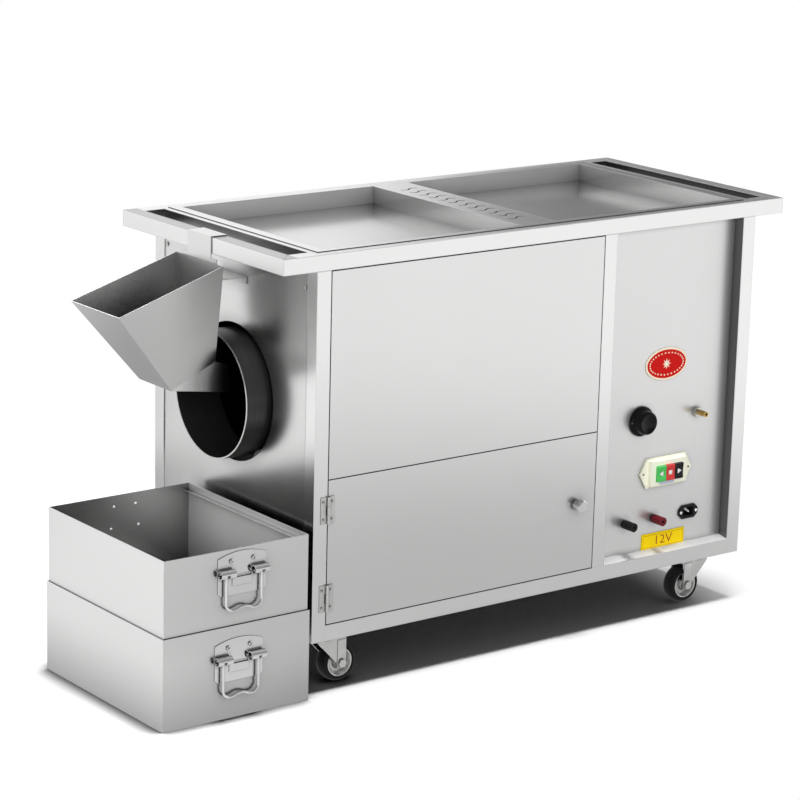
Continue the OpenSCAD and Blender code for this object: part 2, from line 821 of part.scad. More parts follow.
// Trunnion roller on its axle
module roller(y) {
    difference() {
        rod_x([roller_x - roller_w / 2, y, roller_z], roller_r, roller_w);
        rod_x([roller_x - roller_w / 2 - 1, y, roller_z], roller_axle_r + run_gap, roller_w + 2);
    }
}
module front_roller() {
    color("slategray") place() roller(axis_y - roller_dy);
}
module rear_roller() {
    color("slategray") place() roller(axis_y + roller_dy);
}

// Gas line from the valve through the bulkhead to the manifold and its jets
module gas_pipe() {
    jet_r = 4;
    valve_x0 = gas_knob_at - valve_size[0] / 2;
    valve_x1 = gas_knob_at + valve_size[0] / 2;
    block_x0 = nipple_at - nipple_block;
    color("goldenrod") place() {
        rod_y([manifold_x, feed_y, burner_z], manifold_r, 2 * (axis_y - feed_y));
        for (y = burner_ys())
            rod_x([manifold_x - manifold_r - jet_l, y, burner_z], jet_r, jet_l + manifold_r);
        rod_x([manifold_x, feed_pipe_y, burner_z], pipe_r, feed_x - manifold_x);
        translate([feed_x, feed_pipe_y, burner_z]) sphere(fitting_r);
        rod_y([feed_x, valve_y, burner_z], pipe_r, feed_pipe_y - valve_y);
        translate([feed_x, valve_y, burner_z]) sphere(fitting_r);
        rod_z([feed_x, valve_y, burner_z], pipe_r, gas_z - burner_z);
        translate([feed_x, valve_y, gas_z]) sphere(fitting_r);
        rod_x([feed_x, valve_y, gas_z], pipe_r, valve_x0 - feed_x);
        rod_x([valve_x1, valve_y, gas_z], pipe_r, block_x0 - valve_x1);
    }
}

module gas_valve() {
    y0 = panel_y + sheet;
    back = 4;
    color("goldenrod") place() difference() {
        union() {
            translate([gas_knob_at, valve_y + back, gas_z] - valve_size / 2) cube(valve_size);
            rod_y([gas_knob_at, y0, gas_z], spindle_r + 5, valve_y - y0);
        }
        rod_y([gas_knob_at, y0 - 1, gas_z], spindle_r + run_gap, spindle_l);
    }
}

// Brass hose nipple: grooved tail, hex flange, threaded back with an elbow block
module gas_inlet() {
    groove_w = 1.2;
    groove_pitch = 5;
    groove_depth = 0.7;
    gas_bore = nipple_r - 2.5;
    tail_y = panel_y - nipple_out;
    hex_y = panel_y - nipple_hex_t;
    block_l = 22;
    block_y = valve_y - block_l / 2;
    color("gold") place() difference() {
        union() {
            rod_y([nipple_at, tail_y, gas_z], nipple_r, hex_y - tail_y + 1);
            translate([nipple_at, panel_y, gas_z]) rotate([90, 0, 0])
                cylinder(r = nipple_hex_r, h = nipple_hex_t, $fn = 6);
            rod_y([nipple_at, panel_y - 1, gas_z], nipple_thread_r, block_y - panel_y + 2);
            translate([nipple_at - nipple_block, block_y, gas_z - nipple_block])
                cube([2 * nipple_block, block_l, 2 * nipple_block]);
        }
        rod_y([nipple_at, tail_y - 1, gas_z], gas_bore, valve_y - tail_y);
        for (i = [1 : 2]) translate([0, tail_y + i * groove_pitch, 0]) difference() {
            rod_y([nipple_at, 0, gas_z], nipple_r + 1, groove_w);
            rod_y([nipple_at, -1, gas_z], nipple_r - groove_depth, groove_w + 2);
        }
    }
}

// Appliance inlet: chamfered flange with two screw holes, shrouded recess and three blades
module power_inlet() {
    corner = 9;
    hole_r = 1.7;
    blade = [4, 2];
    blade_l = 12;
    fx = inlet_flange[0] / 2;
    fz = inlet_flange[1] / 2;
    cavity_y = panel_y - inlet_flange_t + inlet_depth;
    color("black") place() translate([inlet_at, 0, socket_z]) {
        difference() {
            union() {
                slab_y(panel_y - inlet_flange_t, inlet_flange_t) polygon([
                    [-fx, -fz + corner], [-fx + corner, -fz], [fx - corner, -fz], [fx, -fz + corner],
                    [fx, fz - corner], [fx - corner, fz], [-fx + corner, fz], [-fx, fz - corner]
                ]);
                slab_y(panel_y - 1, inlet_depth + 1) square(inlet_body, center = true);
            }
            slab_y(panel_y - inlet_flange_t - 1, inlet_depth + 1) square(inlet_cavity, center = true);
            for (side = [-1, 1])
                rod_y([side * (fx - 5), panel_y - inlet_flange_t - 1, 0], hole_r, inlet_flange_t + 2);
        }
        for (p = [[-7, -2], [7, -2], [0, 3]]) slab_y(cavity_y - blade_l, blade_l + 1)
            translate(p) square([blade[1], blade[0]], center = true);
    }
}

// Binding posts: collar on the panel and hollow stud with a back nut
module terminal_posts() {
    nut_r = 6;
    nut_t = 4;
    color("goldenrod") place() for (x = [negative_at, positive_at]) difference() {
        union() {
            rod_y([x, panel_y - post_collar, socket_z], post_r - 1, post_collar);
            rod_y([x, panel_y - post_out + 1, socket_z], stud_r, post_out - 1 + stud_back);
            translate([x, panel_y + sheet + nut_t, socket_z]) rotate([90, 0, 0])
                cylinder(r = nut_r, h = nut_t, $fn = 6);
        }
        rod_y([x, panel_y - post_out, socket_z], socket_r, post_out - post_collar);
    }
}

// Ribbed screw cap of a binding post
module post_cap(x) {
    ribs = 14;
    l = post_out - post_collar - free_gap;
    y0 = panel_y - post_out;
    difference() {
        rod_y([x, y0, socket_z], post_r, l);
        rod_y([x, y0 - 1, socket_z], stud_r + run_gap, l + 2);
        for (i = [0 : ribs - 1]) translate([x, 0, socket_z]) rotate([0, i * 360 / ribs, 0])
            rod_y([post_r + 0.4, y0 + 4, 0], 1, l);
    }
}
module negative_cap() {
    color("black") place() post_cap(negative_at);
}
module positive_cap() {
    color("firebrick") place() post_cap(positive_at);
}

// Switch housing: pointed base, raised body with one window, contact block behind the panel
module switch_housing() {
    half = switch_l / 2;
    flat = half - 17;
    h = switch_h / 2;
    hole_r = 2;
    cavity_y = switch_face_y + button_l - button_proud + button_travel + 1;
    color("beige") place() translate([switch_at, 0, switch_z]) difference() {
        union() {
            slab_y(panel_y - switch_base_t, switch_base_t)
                polygon([[-half, 0], [-flat, -h], [flat, -h], [half, 0], [flat, h], [-flat, h]]);
            slab_y(switch_face_y, switch_body_out + 1) square(switch_body, center = true);
            slab_y(panel_y - 1, switch_block_l + 1) square(switch_block, center = true);
        }
        slab_y(switch_face_y - 1, cavity_y - switch_face_y + 1) square([window_w, window_h], center = true);
        for (side = [-1, 1])
            rod_y([side * (half - 9), panel_y - switch_base_t - 1, 0], hole_r, switch_base_t + 2);
    }
}

// Push button: square cap with a shallow finger dish
module push_button(i) {
    dish_r = 60;
    y0 = switch_face_y - button_proud;
    translate([switch_at + i * button_pitch, 0, switch_z]) difference() {
        slab_y(y0, button_l) square([button_w, button_h], center = true);
        rod_x([-button_w, y0 - dish_r + 1, 0], dish_r, 2 * button_w);
    }
}
module forward_button() {
    color("limegreen") place() push_button(-1);
}
module stop_button() {
    color("red") place() push_button(0);
}
module reverse_button() {
    color("black") place() push_button(1);
}

// Gas knob: skirt, tapered body, grip bar and the valve spindle
module gas_knob() {
    skirt_t = 6;
    skirt_gap = 0.8;
    bar_w = 13;
    bar_out = 2.5;
    body_r = gas_knob_r - 4;
    body_out = gas_knob_out - bar_out;
    color("black") place() translate([gas_knob_at, panel_y, gas_z]) {
        rotate([90, 0, 0]) rotate_extrude() polygon([
            [0, skirt_gap], [gas_knob_r, skirt_gap], [gas_knob_r, skirt_t], [body_r, skirt_t + 1],
            [body_r - 2, body_out - 2], [body_r - 4, body_out], [0, body_out]
        ]);
        intersection() {
            rotate([90, 0, 0]) cylinder(r = body_r - 3, h = gas_knob_out);
            translate([-bar_w / 2, -gas_knob_out, -body_r]) cube([bar_w, bar_out + 1, 2 * body_r]);
        }
        rod_y([0, -skirt_gap - 1, 0], spindle_r, spindle_l - 2);
    }
}

// Gearbox and motor can on one axis
module gear_motor() {
    bell_l = 10;
    x1 = gearbox_x + gearbox[0];
    color("dimgray") place() difference() {
        union() {
            translate([gearbox_x, axis_y - gearbox[1] / 2, motor_z - gearbox[2] / 2]) cube(gearbox);
            rod_x([gearbox_x - 4, axis_y, motor_z], motor_shaft_r + 9, 5);
            rod_x([x1 - 1, axis_y, motor_z], motor_r, motor_l + 1);
            rod_x([x1 + motor_l - 1, axis_y, motor_z], motor_r - 6, bell_l + 1);
        }
        rod_x([gearbox_x - 5, axis_y, motor_z], motor_shaft_r + run_gap, gearbox_bore_l + 5);
    }
}

// Flanged bearing on the bulkhead
module shaft_bearing() {
    x0 = bulkhead_x + sheet;
    bearing_bolt = bearing_side * 0.38;
    color("slategray") place() difference() {
        union() {
            translate([x0, axis_y - bearing_side / 2, drum_axis_z - bearing_side / 2])
                cube([bearing_t, bearing_side, bearing_side]);
            rod_x([x0 + bearing_t - 1, axis_y, drum_axis_z], bearing_side * 0.36, bearing_boss_l + 1);
        }
        rod_x([x0 - 1, axis_y, drum_axis_z], shaft_r + run_gap, bearing_t + bearing_boss_l + 2);
        for (sy = [-1, 1], sz = [-1, 1])
            rod_x([x0 - 1, axis_y + sy * bearing_bolt, drum_axis_z + sz * bearing_bolt], 5, bearing_t + 2);
    }
}

// Outline round both pulleys, in y and z, at a distance from the pulley faces
module belt_outline(off) {
    r1 = drum_pulley_r + off;
    r2 = motor_pulley_r + off;
    d = drum_axis_z - motor_z;
    lean = asin((r1 - r2) / d);
    translate([axis_y, drum_axis_z]) circle(r1);
    translate([axis_y, motor_z]) circle(r2);
    polygon([
        [axis_y - r1 * cos(lean), drum_axis_z - r1 * sin(lean)],
        [axis_y - r2 * cos(lean), motor_z - r2 * sin(lean)],
        [axis_y + r2 * cos(lean), motor_z - r2 * sin(lean)],
        [axis_y + r1 * cos(lean), drum_axis_z - r1 * sin(lean)]
    ]);
}
module drive_belt() {
    color("black") place() slab_x(pulley_x + (pulley_w - belt_w) / 2, belt_w) difference() {
        belt_outline(free_gap + belt_t);
        belt_outline(free_gap);
    }
}

// Pulley with side flanges, its profile in radius and x
module pulley_profile(r, bore) {
    flange = belt_t - 1;
    f = (pulley_w - belt_w) / 2 - free_gap;
    x1 = pulley_x + pulley_w;
    polygon([
        [bore, pulley_x], [r + flange, pulley_x], [r + flange, pulley_x + f], [r, pulley_x + f],
        [r, x1 - f], [r + flange, x1 - f], [r + flange, x1], [bore, x1]
    ]);
}
module drum_pulley() {
    holes = 5;
    hole_r = drum_pulley_r * 0.2;
    color("gray") place() difference() {
        turned_x(axis_y, drum_axis_z) pulley_profile(drum_pulley_r, shaft_r);
        for (i = [0 : holes - 1]) translate([0, axis_y, drum_axis_z]) rotate([i * 360 / holes, 0, 0])
            rod_x([pulley_x - 1, drum_pulley_r * 0.58, 0], hole_r, pulley_w + 2);
    }
}
module motor_pulley() {
    back = gearbox_bore_l - 2;
    color("gray") place() {
        turned_x(axis_y, motor_z) pulley_profile(motor_pulley_r, 0);
        rod_x([pulley_x, axis_y, motor_z], motor_shaft_r, gearbox_x + back - pulley_x);
    }
}

// Vented case of the power supply
module power_supply() {
    slots = 8;
    slot = [60, 4, 6];
    x0 = gearbox_x;
    y0 = in_y1 - supply[1] - 12;
    color("darkgray") place() difference() {
        translate([x0, y0, base_top]) cube(supply);
        for (i = [0 : slots - 1])
            translate([x0 + supply[0] - slot[0] - 12, y0 + (i + 0.7) * supply[1] / (slots + 0.4),
                base_top + supply[2] - slot[2]]) cube([slot[0], slot[1], slot[2] + 1]);
        translate([x0 - 1, y0 + 8, base_top + supply[2] / 2]) cube([24, supply[1] - 16, supply[2]]);
    }
}

module drum_neck() {
    color("dimgray") place() turned_x(axis_y, drum_axis_z) polygon([
        [neck_r - neck_wall, neck_x0], [neck_r, neck_x0], [neck_r, neck_x1], [neck_r - neck_wall, neck_x1]
    ]);
}
module drum_shell() {
    color("dimgray") place() turned_x(axis_y, drum_axis_z) polygon([
        [neck_r - drum_wall, neck_x1], [neck_r, neck_x1], [drum_r, shell_x0], [drum_r, drum_x1],
        [0, drum_x1], [0, shell_x1], [drum_in_r, shell_x1], [drum_in_r, shell_x0]
    ]);
}

// Flat flight plates set along two helices
module drum_flights() {
    color("dimgray") place() translate([shell_x0 + flight_margin + flight_pitch / 2, axis_y, drum_axis_z])
        for (start = [0, 180], i = [0 : flight_count - 1])
            translate([i * flight_pitch, 0, 0]) rotate([start + i * flight_step, 0, 0])
                translate([0, 0, flight_top - flight_h]) rotate([0, 0, -flight_angle])
                    translate([-flight_l / 2, -flight_t / 2, 0]) cube([flight_l, flight_t, flight_h]);
}
module drum_shaft() {
    hub_r = 45;
    hub_t = 12;
    color("silver") place() turned_x(axis_y, drum_axis_z) polygon([
        [0, drum_x1], [hub_r, drum_x1], [hub_r, drum_x1 + hub_t], [shaft_r, drum_x1 + hub_t],
        [shaft_r, shaft_x1], [0, shaft_x1]
    ]);
}

// Four-cornered tapering solid: corners of the foot, then of the top, each in turn round the outline
module tapered_block(foot, top) {
    polyhedron(concat(foot, top), [
        [3, 2, 1, 0], [4, 5, 6, 7], [1, 5, 4, 0], [2, 6, 5, 1], [3, 7, 6, 2], [0, 4, 7, 3]
    ]);
}

// Half width of the funnel between its flat side walls at a place x, z
function funnel_half(p) = chute_w / 2 + hopper_flare * ((p - chute_foot) * hopper_up);

// Corners of one end of the funnel, its half width drawn in by t
function funnel_quad(lip, rear, t) = [
    for (c = [[lip, -1], [lip, 1], [rear, 1], [rear, -1]])
        [c[0][0], axis_y + c[1] * (funnel_half(c[0]) - t), c[0][1]]
];

// The same corners carried on past the end by a share of the funnel's length
function carry_on(from, to, share) = [for (i = [0 : 3]) to[i] + (to[i] - from[i]) * share];
module hopper() {
    t = hopper_t;
    slope = chute_drop - hopper_lip_drop;
    lip_t = t * norm([hopper_reach - chute_out, slope]) / slope;
    lip_in = [lip_t, 0];
    rear_in = [-t, 0];
    foot = funnel_quad(chute_foot, chute_mouth, 0);
    top = funnel_quad(hopper_lip, hopper_rear, 0);
    foot_in = funnel_quad(chute_foot + lip_in, chute_mouth + rear_in, t);
    top_in = funnel_quad(hopper_lip + lip_in, hopper_rear + rear_in, t);
    color("silver") place() translate([0, 0, table_h]) difference() {
        union() {
            tapered_block(foot, top);
            slab_y(axis_y - chute_w / 2, chute_w)
                polygon([
                    chute_foot, chute_foot + t * hopper_up, chute_mouth + t * hopper_up, chute_mouth,
                    chute_end + [0, chute_wall_h], chute_end
                ]);
        }
        tapered_block(foot_in, carry_on(foot_in, top_in, 0.2));
        slab_y(axis_y - chute_w / 2 + t, chute_w - 2 * t) polygon([
            chute_foot + [lip_t + t, t], chute_foot + [lip_t, 2 * t], chute_mouth + [-t, t],
            chute_mouth + rear_in, chute_mouth, [chute_end[0] + 1, chute_mouth[1] + 1], chute_end + [1, t]
        ]);
    }
}

// Hook over the rim, stepped in above its foot, and the stand-off that leans on the end panel
module hopper_brackets() {
    step = 8;
    hook_top = table_h + hook_t;
    lip_x = tube + 0.5;
    plate_x = hopper_x - hook_t;
    foot_z = table_h - hopper_drop;
    color("silver") place() {
        translate([plate_x, axis_y - hook_foot_w / 2, foot_z]) cube([hook_t, hook_foot_w, step]);
        translate([plate_x, axis_y - hook_w / 2, foot_z]) cube([hook_t, hook_w, hook_top - foot_z]);
        translate([plate_x, axis_y - hook_w / 2, table_h]) cube([lip_x + hook_t - plate_x, hook_w, hook_t]);
        translate([lip_x, axis_y - hook_w / 2, table_h - hook_lip])
            cube([hook_t, hook_w, hook_lip + hook_t]);
        translate([hopper_x, axis_y - standoff_w / 2, table_h - standoff_drop - hook_t])
            cube([standoff_end - hopper_x, standoff_w, hook_t]);
        translate([standoff_end - hook_t, axis_y - standoff_w / 2, table_h - standoff_drop - standoff_h])
            cube([hook_t, standoff_w, standoff_h]);
    }
}

module lower_door() {
    color("silver") place() difference() {
        front_tray(door_x0, base_top + door_gap, door_x1, door_top - door_gap / 2);
        rod_y([latch_x, -1, door_knob_z], latch_spindle_r + run_gap, sheet + 2);
    }
}

// Hinges: the frame leaf has the outer knuckles and the pin, the door leaf the middle knuckle
module hinge_frame_leaves() {
    leaf_w = hinge_leaf_w - knuckle_r;
    outer = [[-hinge_h / 2, -knuckle_cut - free_gap], [knuckle_cut + free_gap, hinge_h / 2]];
    color("silver") place() for (z = [hinge_low_z, hinge_high_z]) {
        translate([hinge_x - hinge_leaf_w - 2, -hinge_t, z - hinge_h / 2]) cube([leaf_w, hinge_t, hinge_h]);
        for (s = outer) {
            translate([hinge_x, hinge_y, z + s[0]]) cylinder(r = knuckle_r, h = s[1] - s[0]);
            translate([hinge_x - knuckle_r - 3, -hinge_t, z + s[0]])
                cube([knuckle_r + 3, hinge_t, s[1] - s[0]]);
        }
        translate([hinge_x, hinge_y, z - hinge_h / 2]) cylinder(r = hinge_pin_r, h = hinge_h);
    }
}
module hinge_door_leaves() {
    bore = hinge_pin_r + run_gap;
    color("silver") place() for (z = [hinge_low_z, hinge_high_z]) {
        translate([hinge_x + knuckle_r + free_gap, -hinge_t, z - hinge_h / 2])
            cube([hinge_leaf_w - knuckle_r - 1, hinge_t, hinge_h]);
        difference() {
            union() {
                translate([hinge_x, hinge_y, z - knuckle_cut]) cylinder(r = knuckle_r, h = 2 * knuckle_cut);
                translate([hinge_x, -hinge_t, z - knuckle_cut])
                    cube([knuckle_r + 2, hinge_t, 2 * knuckle_cut]);
            }
            translate([hinge_x, hinge_y, z - knuckle_cut - 1]) cylinder(r = bore, h = 2 * knuckle_cut + 2);
        }
    }
}

// Turned door knob on its spindle, with the latch cam hanging down behind the door
module door_latch() {
    neck = 5;
    color("whitesmoke") place() translate([latch_x, 0, door_knob_z]) {
        rotate([90, 0, 0]) rotate_extrude() polygon([
            [0, free_gap], [door_knob_r - 2, free_gap], [door_knob_r - 4, neck],
            [door_knob_r - 1, neck + 3], [door_knob_r, neck + 6], [door_knob_r, door_knob_out - 3],
            [door_knob_r - 3, door_knob_out], [0, door_knob_out]
        ]);
        rod_y([0, -free_gap - 1, 0], latch_spindle_r, latch_y + latch_t + free_gap + 4);
        slab_y(latch_y, latch_t) {
            circle(latch_w / 2 + 2);
            translate([-latch_w / 2, -latch_reach]) square([latch_w, latch_reach]);
        }
    }
}

// Casters: plates with their kingpins stay on the cabinet, forks swivel, wheels turn
module caster_plates() {
    plate_z = caster_h - caster_plate_t;
    nut_r = kingpin_r + 4;
    color("silver") place() for (x = wheel_low_x, y = swivel_y) translate([x, y, 0]) {
        translate([-caster_plate / 2, -caster_plate / 2, plate_z])
            cube([caster_plate, caster_plate, caster_plate_t]);
        rod_z([0, 0, crown_z - kingpin_end], kingpin_r, plate_z - crown_z + kingpin_end + 1);
        rod_z([0, 0, crown_z - kingpin_end], nut_r, kingpin_end - free_gap);
    }
}
module fork(ix, iy) {
    side = ix == 0 ? 1 : -1;
    eye_r = axle_r + 4;
    toe = trail + eye_r;
    heel = race_r;
    race_top = caster_h - caster_plate_t - free_gap;
    flip = side > 0 ? 0 : 1;
    color("lightgray") place() translate([wheel_low_x[ix], swivel_y[iy], 0]) mirror([flip, 0, 0]) {
        difference() {
            union() {
                translate([-heel, -fork_in - fork_t, crown_z])
                    cube([heel + toe, 2 * (fork_in + fork_t), crown_t]);
                rod_z([0, 0, crown_z + crown_t - 1], race_r, race_top - crown_z - crown_t + 1);
                for (y = [-fork_in - fork_t, fork_in]) slab_y(y, fork_t) {
                    translate([trail, wheel_r]) circle(eye_r);
                    polygon([
                        [-heel, crown_z], [trail - eye_r, wheel_r], [toe, wheel_r],
                        [toe, crown_z + 1], [-heel, crown_z + 1]
                    ]);
                }
            }
            rod_z([0, 0, crown_z - 1], kingpin_r + run_gap, caster_h);
        }
        rod_y([trail, -fork_in - fork_t - 3, wheel_r], axle_r - run_gap, 2 * (fork_in + fork_t + 3));
        for (y = [-fork_in - fork_t - 5, fork_in + fork_t]) translate([trail, y, wheel_r])
            rotate([-90, 0, 0]) cylinder(r = axle_r + 2.5, h = 5, $fn = 6);
    }
}
module wheel(ix, iy) {
    side = ix == 0 ? 1 : -1;
    half = wheel_w / 2;
    seat = hub_r + 0.1;
    rim = hub_r - 4;
    axle_x = wheel_low_x[ix] + side * trail;
    color("dimgray") place() translate([axle_x, swivel_y[iy], wheel_r]) rotate([90, 0, 0])
        rotate_extrude() {
            polygon([
                [seat, -half + 2], [wheel_r - 4, -half], [wheel_r - 1, -half + 4], [wheel_r, 0],
                [wheel_r - 1, half - 4], [wheel_r - 4, half], [seat, half - 2]
            ]);
            polygon([
                [axle_r, -half - 1], [axle_r + 5, -half - 1], [axle_r + 6, -3], [rim - 2, -3],
                [rim, -half + 4], [hub_r, -half + 3], [hub_r, half - 3], [rim, half - 4],
                [rim - 2, 3], [axle_r + 6, 3], [axle_r + 5, half + 1], [axle_r, half + 1]
            ]);
        }
}
module front_left_fork() fork(0, 0);
module front_right_fork() fork(1, 0);
module rear_left_fork() fork(0, 1);
module rear_right_fork() fork(1, 1);
module front_left_wheel() wheel(0, 0);
module front_right_wheel() wheel(1, 0);
module rear_left_wheel() wheel(0, 1);
module rear_right_wheel() wheel(1, 1);

// Open sheet bin with a ledge inside each long wall
module bin(inset, z0, h) {
    x0 = bin_x0 + inset;
    y0 = bin_y0 + inset;
    l = bin_l - 2 * inset;
    w = bin_w - 2 * inset;
    difference() {
        translate([x0, y0, z0]) cube([l, w, h]);
        translate([x0 + bin_t, y0 + bin_t, z0 + bin_t]) cube([l - 2 * bin_t, w - 2 * bin_t, h]);
    }
    for (x = [x0 + bin_t - 0.5, x0 + l - bin_t - ledge_w])
        translate([x, y0 + bin_t - 0.5, z0 + h - nest_depth - bin_t])
            cube([ledge_w + 0.5, w - 2 * bin_t + 1, bin_t]);
}
module lower_bin() {
    color("silver") place() bin(0, 0, bin_low_h);
}
module upper_bin() {
    color("silver") place() bin(nest_in, bin_up_z, bin_up_h);
}

// Handle frames: at the middle of the barrels' axis, facing away from the bin's wall
module at_front(inset, x, z) {
    translate([x, bin_y0 + inset, z]) children();
}
module at_rear(inset, x, z) {
    translate([x, bin_y1 - inset, z]) rotate([0, 0, 180]) children();
}

// Chest handle plate: arched top, two open barrels for the bail's ends,
// a slot and a raised strap between them
module handle_plate() {
    half = handle_w / 2;
    foot = 6;
    strap_half = half - curl_l;
    arch_r = (half * half + handle_arch * handle_arch) / (2 * handle_arch);
    difference() {
        union() {
            slab_y(-handle_t, handle_t) difference() {
                intersection() {
                    polygon([
                        [-half, handle_up], [-half, foot - handle_down], [foot - half, -handle_down],
                        [half - foot, -handle_down], [half, foot - handle_down], [half, handle_up]
                    ]);
                    translate([0, handle_up - arch_r]) circle(arch_r);
                }
                translate([-strap_half, -strap_drop]) square([2 * strap_half, strap_slot]);
            }
            slab_y(-2 * handle_t, 2 * handle_t) translate([-strap_half - 1, -strap_drop - strap_h])
                square([2 * strap_half + 2, strap_h]);
            for (x = [-half, strap_half]) rod_x([x, curl_y, 0], curl_r, curl_l);
        }
        rod_x([-half - 1, curl_y, 0], curl_bore, handle_w + 2);
        for (side = [0, 1]) mirror([side, 0, 0])
            translate([bail_w / 2 - bend_slot, curl_y - curl_r - 1, -curl_r - 1])
                cube([bend_slot + arm_slot, curl_r + 1 + arm_slot, curl_r + 1 + bail_z + arm_slot]);
    }
}
module lower_handle_plates() {
    color("whitesmoke") place() {
        at_front(0, lower_handle_x, lower_handle_z) handle_plate();
        at_rear(0, lower_handle_x, lower_handle_z) handle_plate();
    }
}
module upper_handle_plates() {
    color("whitesmoke") place() {
        at_front(nest_in, upper_handle_x, upper_handle_z) handle_plate();
        at_rear(nest_in, upper_handle_x, upper_handle_z) handle_plate();
    }
}

// Round wire drawn step by step in the x and z plane, starting upwards:
// [0, length] runs straight, [angle, radius] bends; a hardly wider ball joins each step to the next
module wire(steps, r, i = 0) {
    ball = 0.05;
    if (i < len(steps)) {
        a = steps[i][0];
        v = steps[i][1];
        if (i > 0) sphere(r + ball);
        if (a == 0) {
            cylinder(r = r, h = v);
            translate([0, 0, v]) wire(steps, r, i + 1);
        } else {
            side = a > 0 ? 1 : -1;
            mirror([side > 0 ? 0 : 1, 0, 0]) translate([-v, 0, 0]) rotate([90, 0, 0])
                rotate_extrude(angle = abs(a)) translate([v, 0]) circle(r);
            translate([-side * v, 0, 0]) rotate([0, -a, 0]) translate([side * v, 0, 0])
                wire(steps, r, i + 1);
        }
    }
}

// Swinging bail: ends turned in to rest in the barrels, two arms and a grip with a bump in its middle
module bail() {
    corner_r = 14;
    wave = 24;
    wave_r = (bail_w - 2 * corner_r) / (4 * sin(wave));
    end_in = handle_w / 2 - curl_l + 2;
    end_l = bail_w / 2 - bail_bend_r - end_in;
    arm_l = bail_drop - bail_bend_r - corner_r;
    translate([end_in, curl_y, bail_z]) rotate([0, 90, 0]) wire([
        [0, end_l], [-90, bail_bend_r], [0, arm_l], [-90, corner_r],
        [-wave, wave_r], [wave, wave_r], [wave, wave_r], [-wave, wave_r],
        [-90, corner_r], [0, arm_l], [-90, bail_bend_r], [0, end_l]
    ], bail_r);
}
module lower_front_bail() {
    color("whitesmoke") place() at_front(0, lower_handle_x, lower_handle_z) bail();
}
module lower_rear_bail() {
    color("whitesmoke") place() at_rear(0, lower_handle_x, lower_handle_z) bail();
}
module upper_front_bail() {
    color("whitesmoke") place() at_front(nest_in, upper_handle_x, upper_handle_z) bail();
}
module upper_rear_bail() {
    color("whitesmoke") place() at_rear(nest_in, upper_handle_x, upper_handle_z) bail();
}

cabinet_frame();
table_rim();
warming_deck();
left_pan();
right_pan();
upper_front_panel();
control_panel();
left_end_panel();
closing_panels();
floor_pan();
bulkhead();
burner();
support_brackets();
gas_pipe();
gas_valve();
gas_inlet();
power_inlet();
terminal_posts();
switch_housing();
gear_motor();
shaft_bearing();
drive_belt();
power_supply();
caster_plates();
hinge_frame_leaves();
drum_neck();
drum_shell();
drum_flights();
drum_shaft();
drum_pulley();
motor_pulley();
front_roller();
rear_roller();
hopper();
hopper_brackets();
lower_door();
hinge_door_leaves();
door_latch();
gas_knob();
forward_button();
stop_button();
reverse_button();
negative_cap();
positive_cap();
front_left_fork();
front_right_fork();
rear_left_fork();
rear_right_fork();
front_left_wheel();
front_right_wheel();
rear_left_wheel();
rear_right_wheel();
lower_bin();
upper_bin();
lower_handle_plates();
upper_handle_plates();
lower_front_bail();
lower_rear_bail();
upper_front_bail();
upper_rear_bail();
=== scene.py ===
"""Looks of a chestnut roaster cart: camera, light, finishes and the small pieces left out of its solids."""

import math

import bpy
from mathutils import Matrix, Vector


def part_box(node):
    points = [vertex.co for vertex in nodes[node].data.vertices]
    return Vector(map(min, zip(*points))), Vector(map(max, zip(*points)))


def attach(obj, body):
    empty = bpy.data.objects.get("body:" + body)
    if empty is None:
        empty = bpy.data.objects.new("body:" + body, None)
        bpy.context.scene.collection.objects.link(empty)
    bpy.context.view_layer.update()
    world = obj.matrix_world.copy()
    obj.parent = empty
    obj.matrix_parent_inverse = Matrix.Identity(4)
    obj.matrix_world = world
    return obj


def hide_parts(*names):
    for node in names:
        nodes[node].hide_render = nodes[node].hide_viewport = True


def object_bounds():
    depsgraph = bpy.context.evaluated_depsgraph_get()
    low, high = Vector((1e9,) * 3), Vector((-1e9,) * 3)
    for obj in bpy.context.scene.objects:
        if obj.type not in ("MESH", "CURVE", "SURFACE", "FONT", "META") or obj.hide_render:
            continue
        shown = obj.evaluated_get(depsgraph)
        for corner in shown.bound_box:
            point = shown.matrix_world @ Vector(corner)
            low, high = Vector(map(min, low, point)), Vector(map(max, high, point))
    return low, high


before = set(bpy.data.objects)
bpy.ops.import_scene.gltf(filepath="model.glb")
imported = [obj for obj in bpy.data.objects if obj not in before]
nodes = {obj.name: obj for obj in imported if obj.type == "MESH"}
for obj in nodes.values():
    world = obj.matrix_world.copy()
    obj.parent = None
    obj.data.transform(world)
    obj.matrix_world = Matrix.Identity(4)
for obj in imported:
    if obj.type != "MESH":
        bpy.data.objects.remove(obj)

solid_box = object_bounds()
MM = 0.001

# Camera, from the fit to the photograph
CAMERA_AT = (-3.30747, -4.33946, 1.8522)
CAMERA_YAW, CAMERA_PITCH, CAMERA_ROLL = 0.6481, 0.2519, 0.0249
CAMERA_LENS = 131.13
SENSOR = 36.0

# How the floor fades into the white background: round which middle, from where and up to where
FLOOR_MIDDLE, FLOOR_NEAR, FLOOR_FAR = (-0.25, 0.1, 0.0), 0.8, 1.2
# The floor's size and its tone, how much light it throws back under the cart, which is also the tone of its
# painted contact shadow, and the reach of that painted shadow
FLOOR_SIZE, FLOOR_TONE, FLOOR_BOUNCE, CONTACT_REACH = 60, 0.9, 0.12, 60 * MM
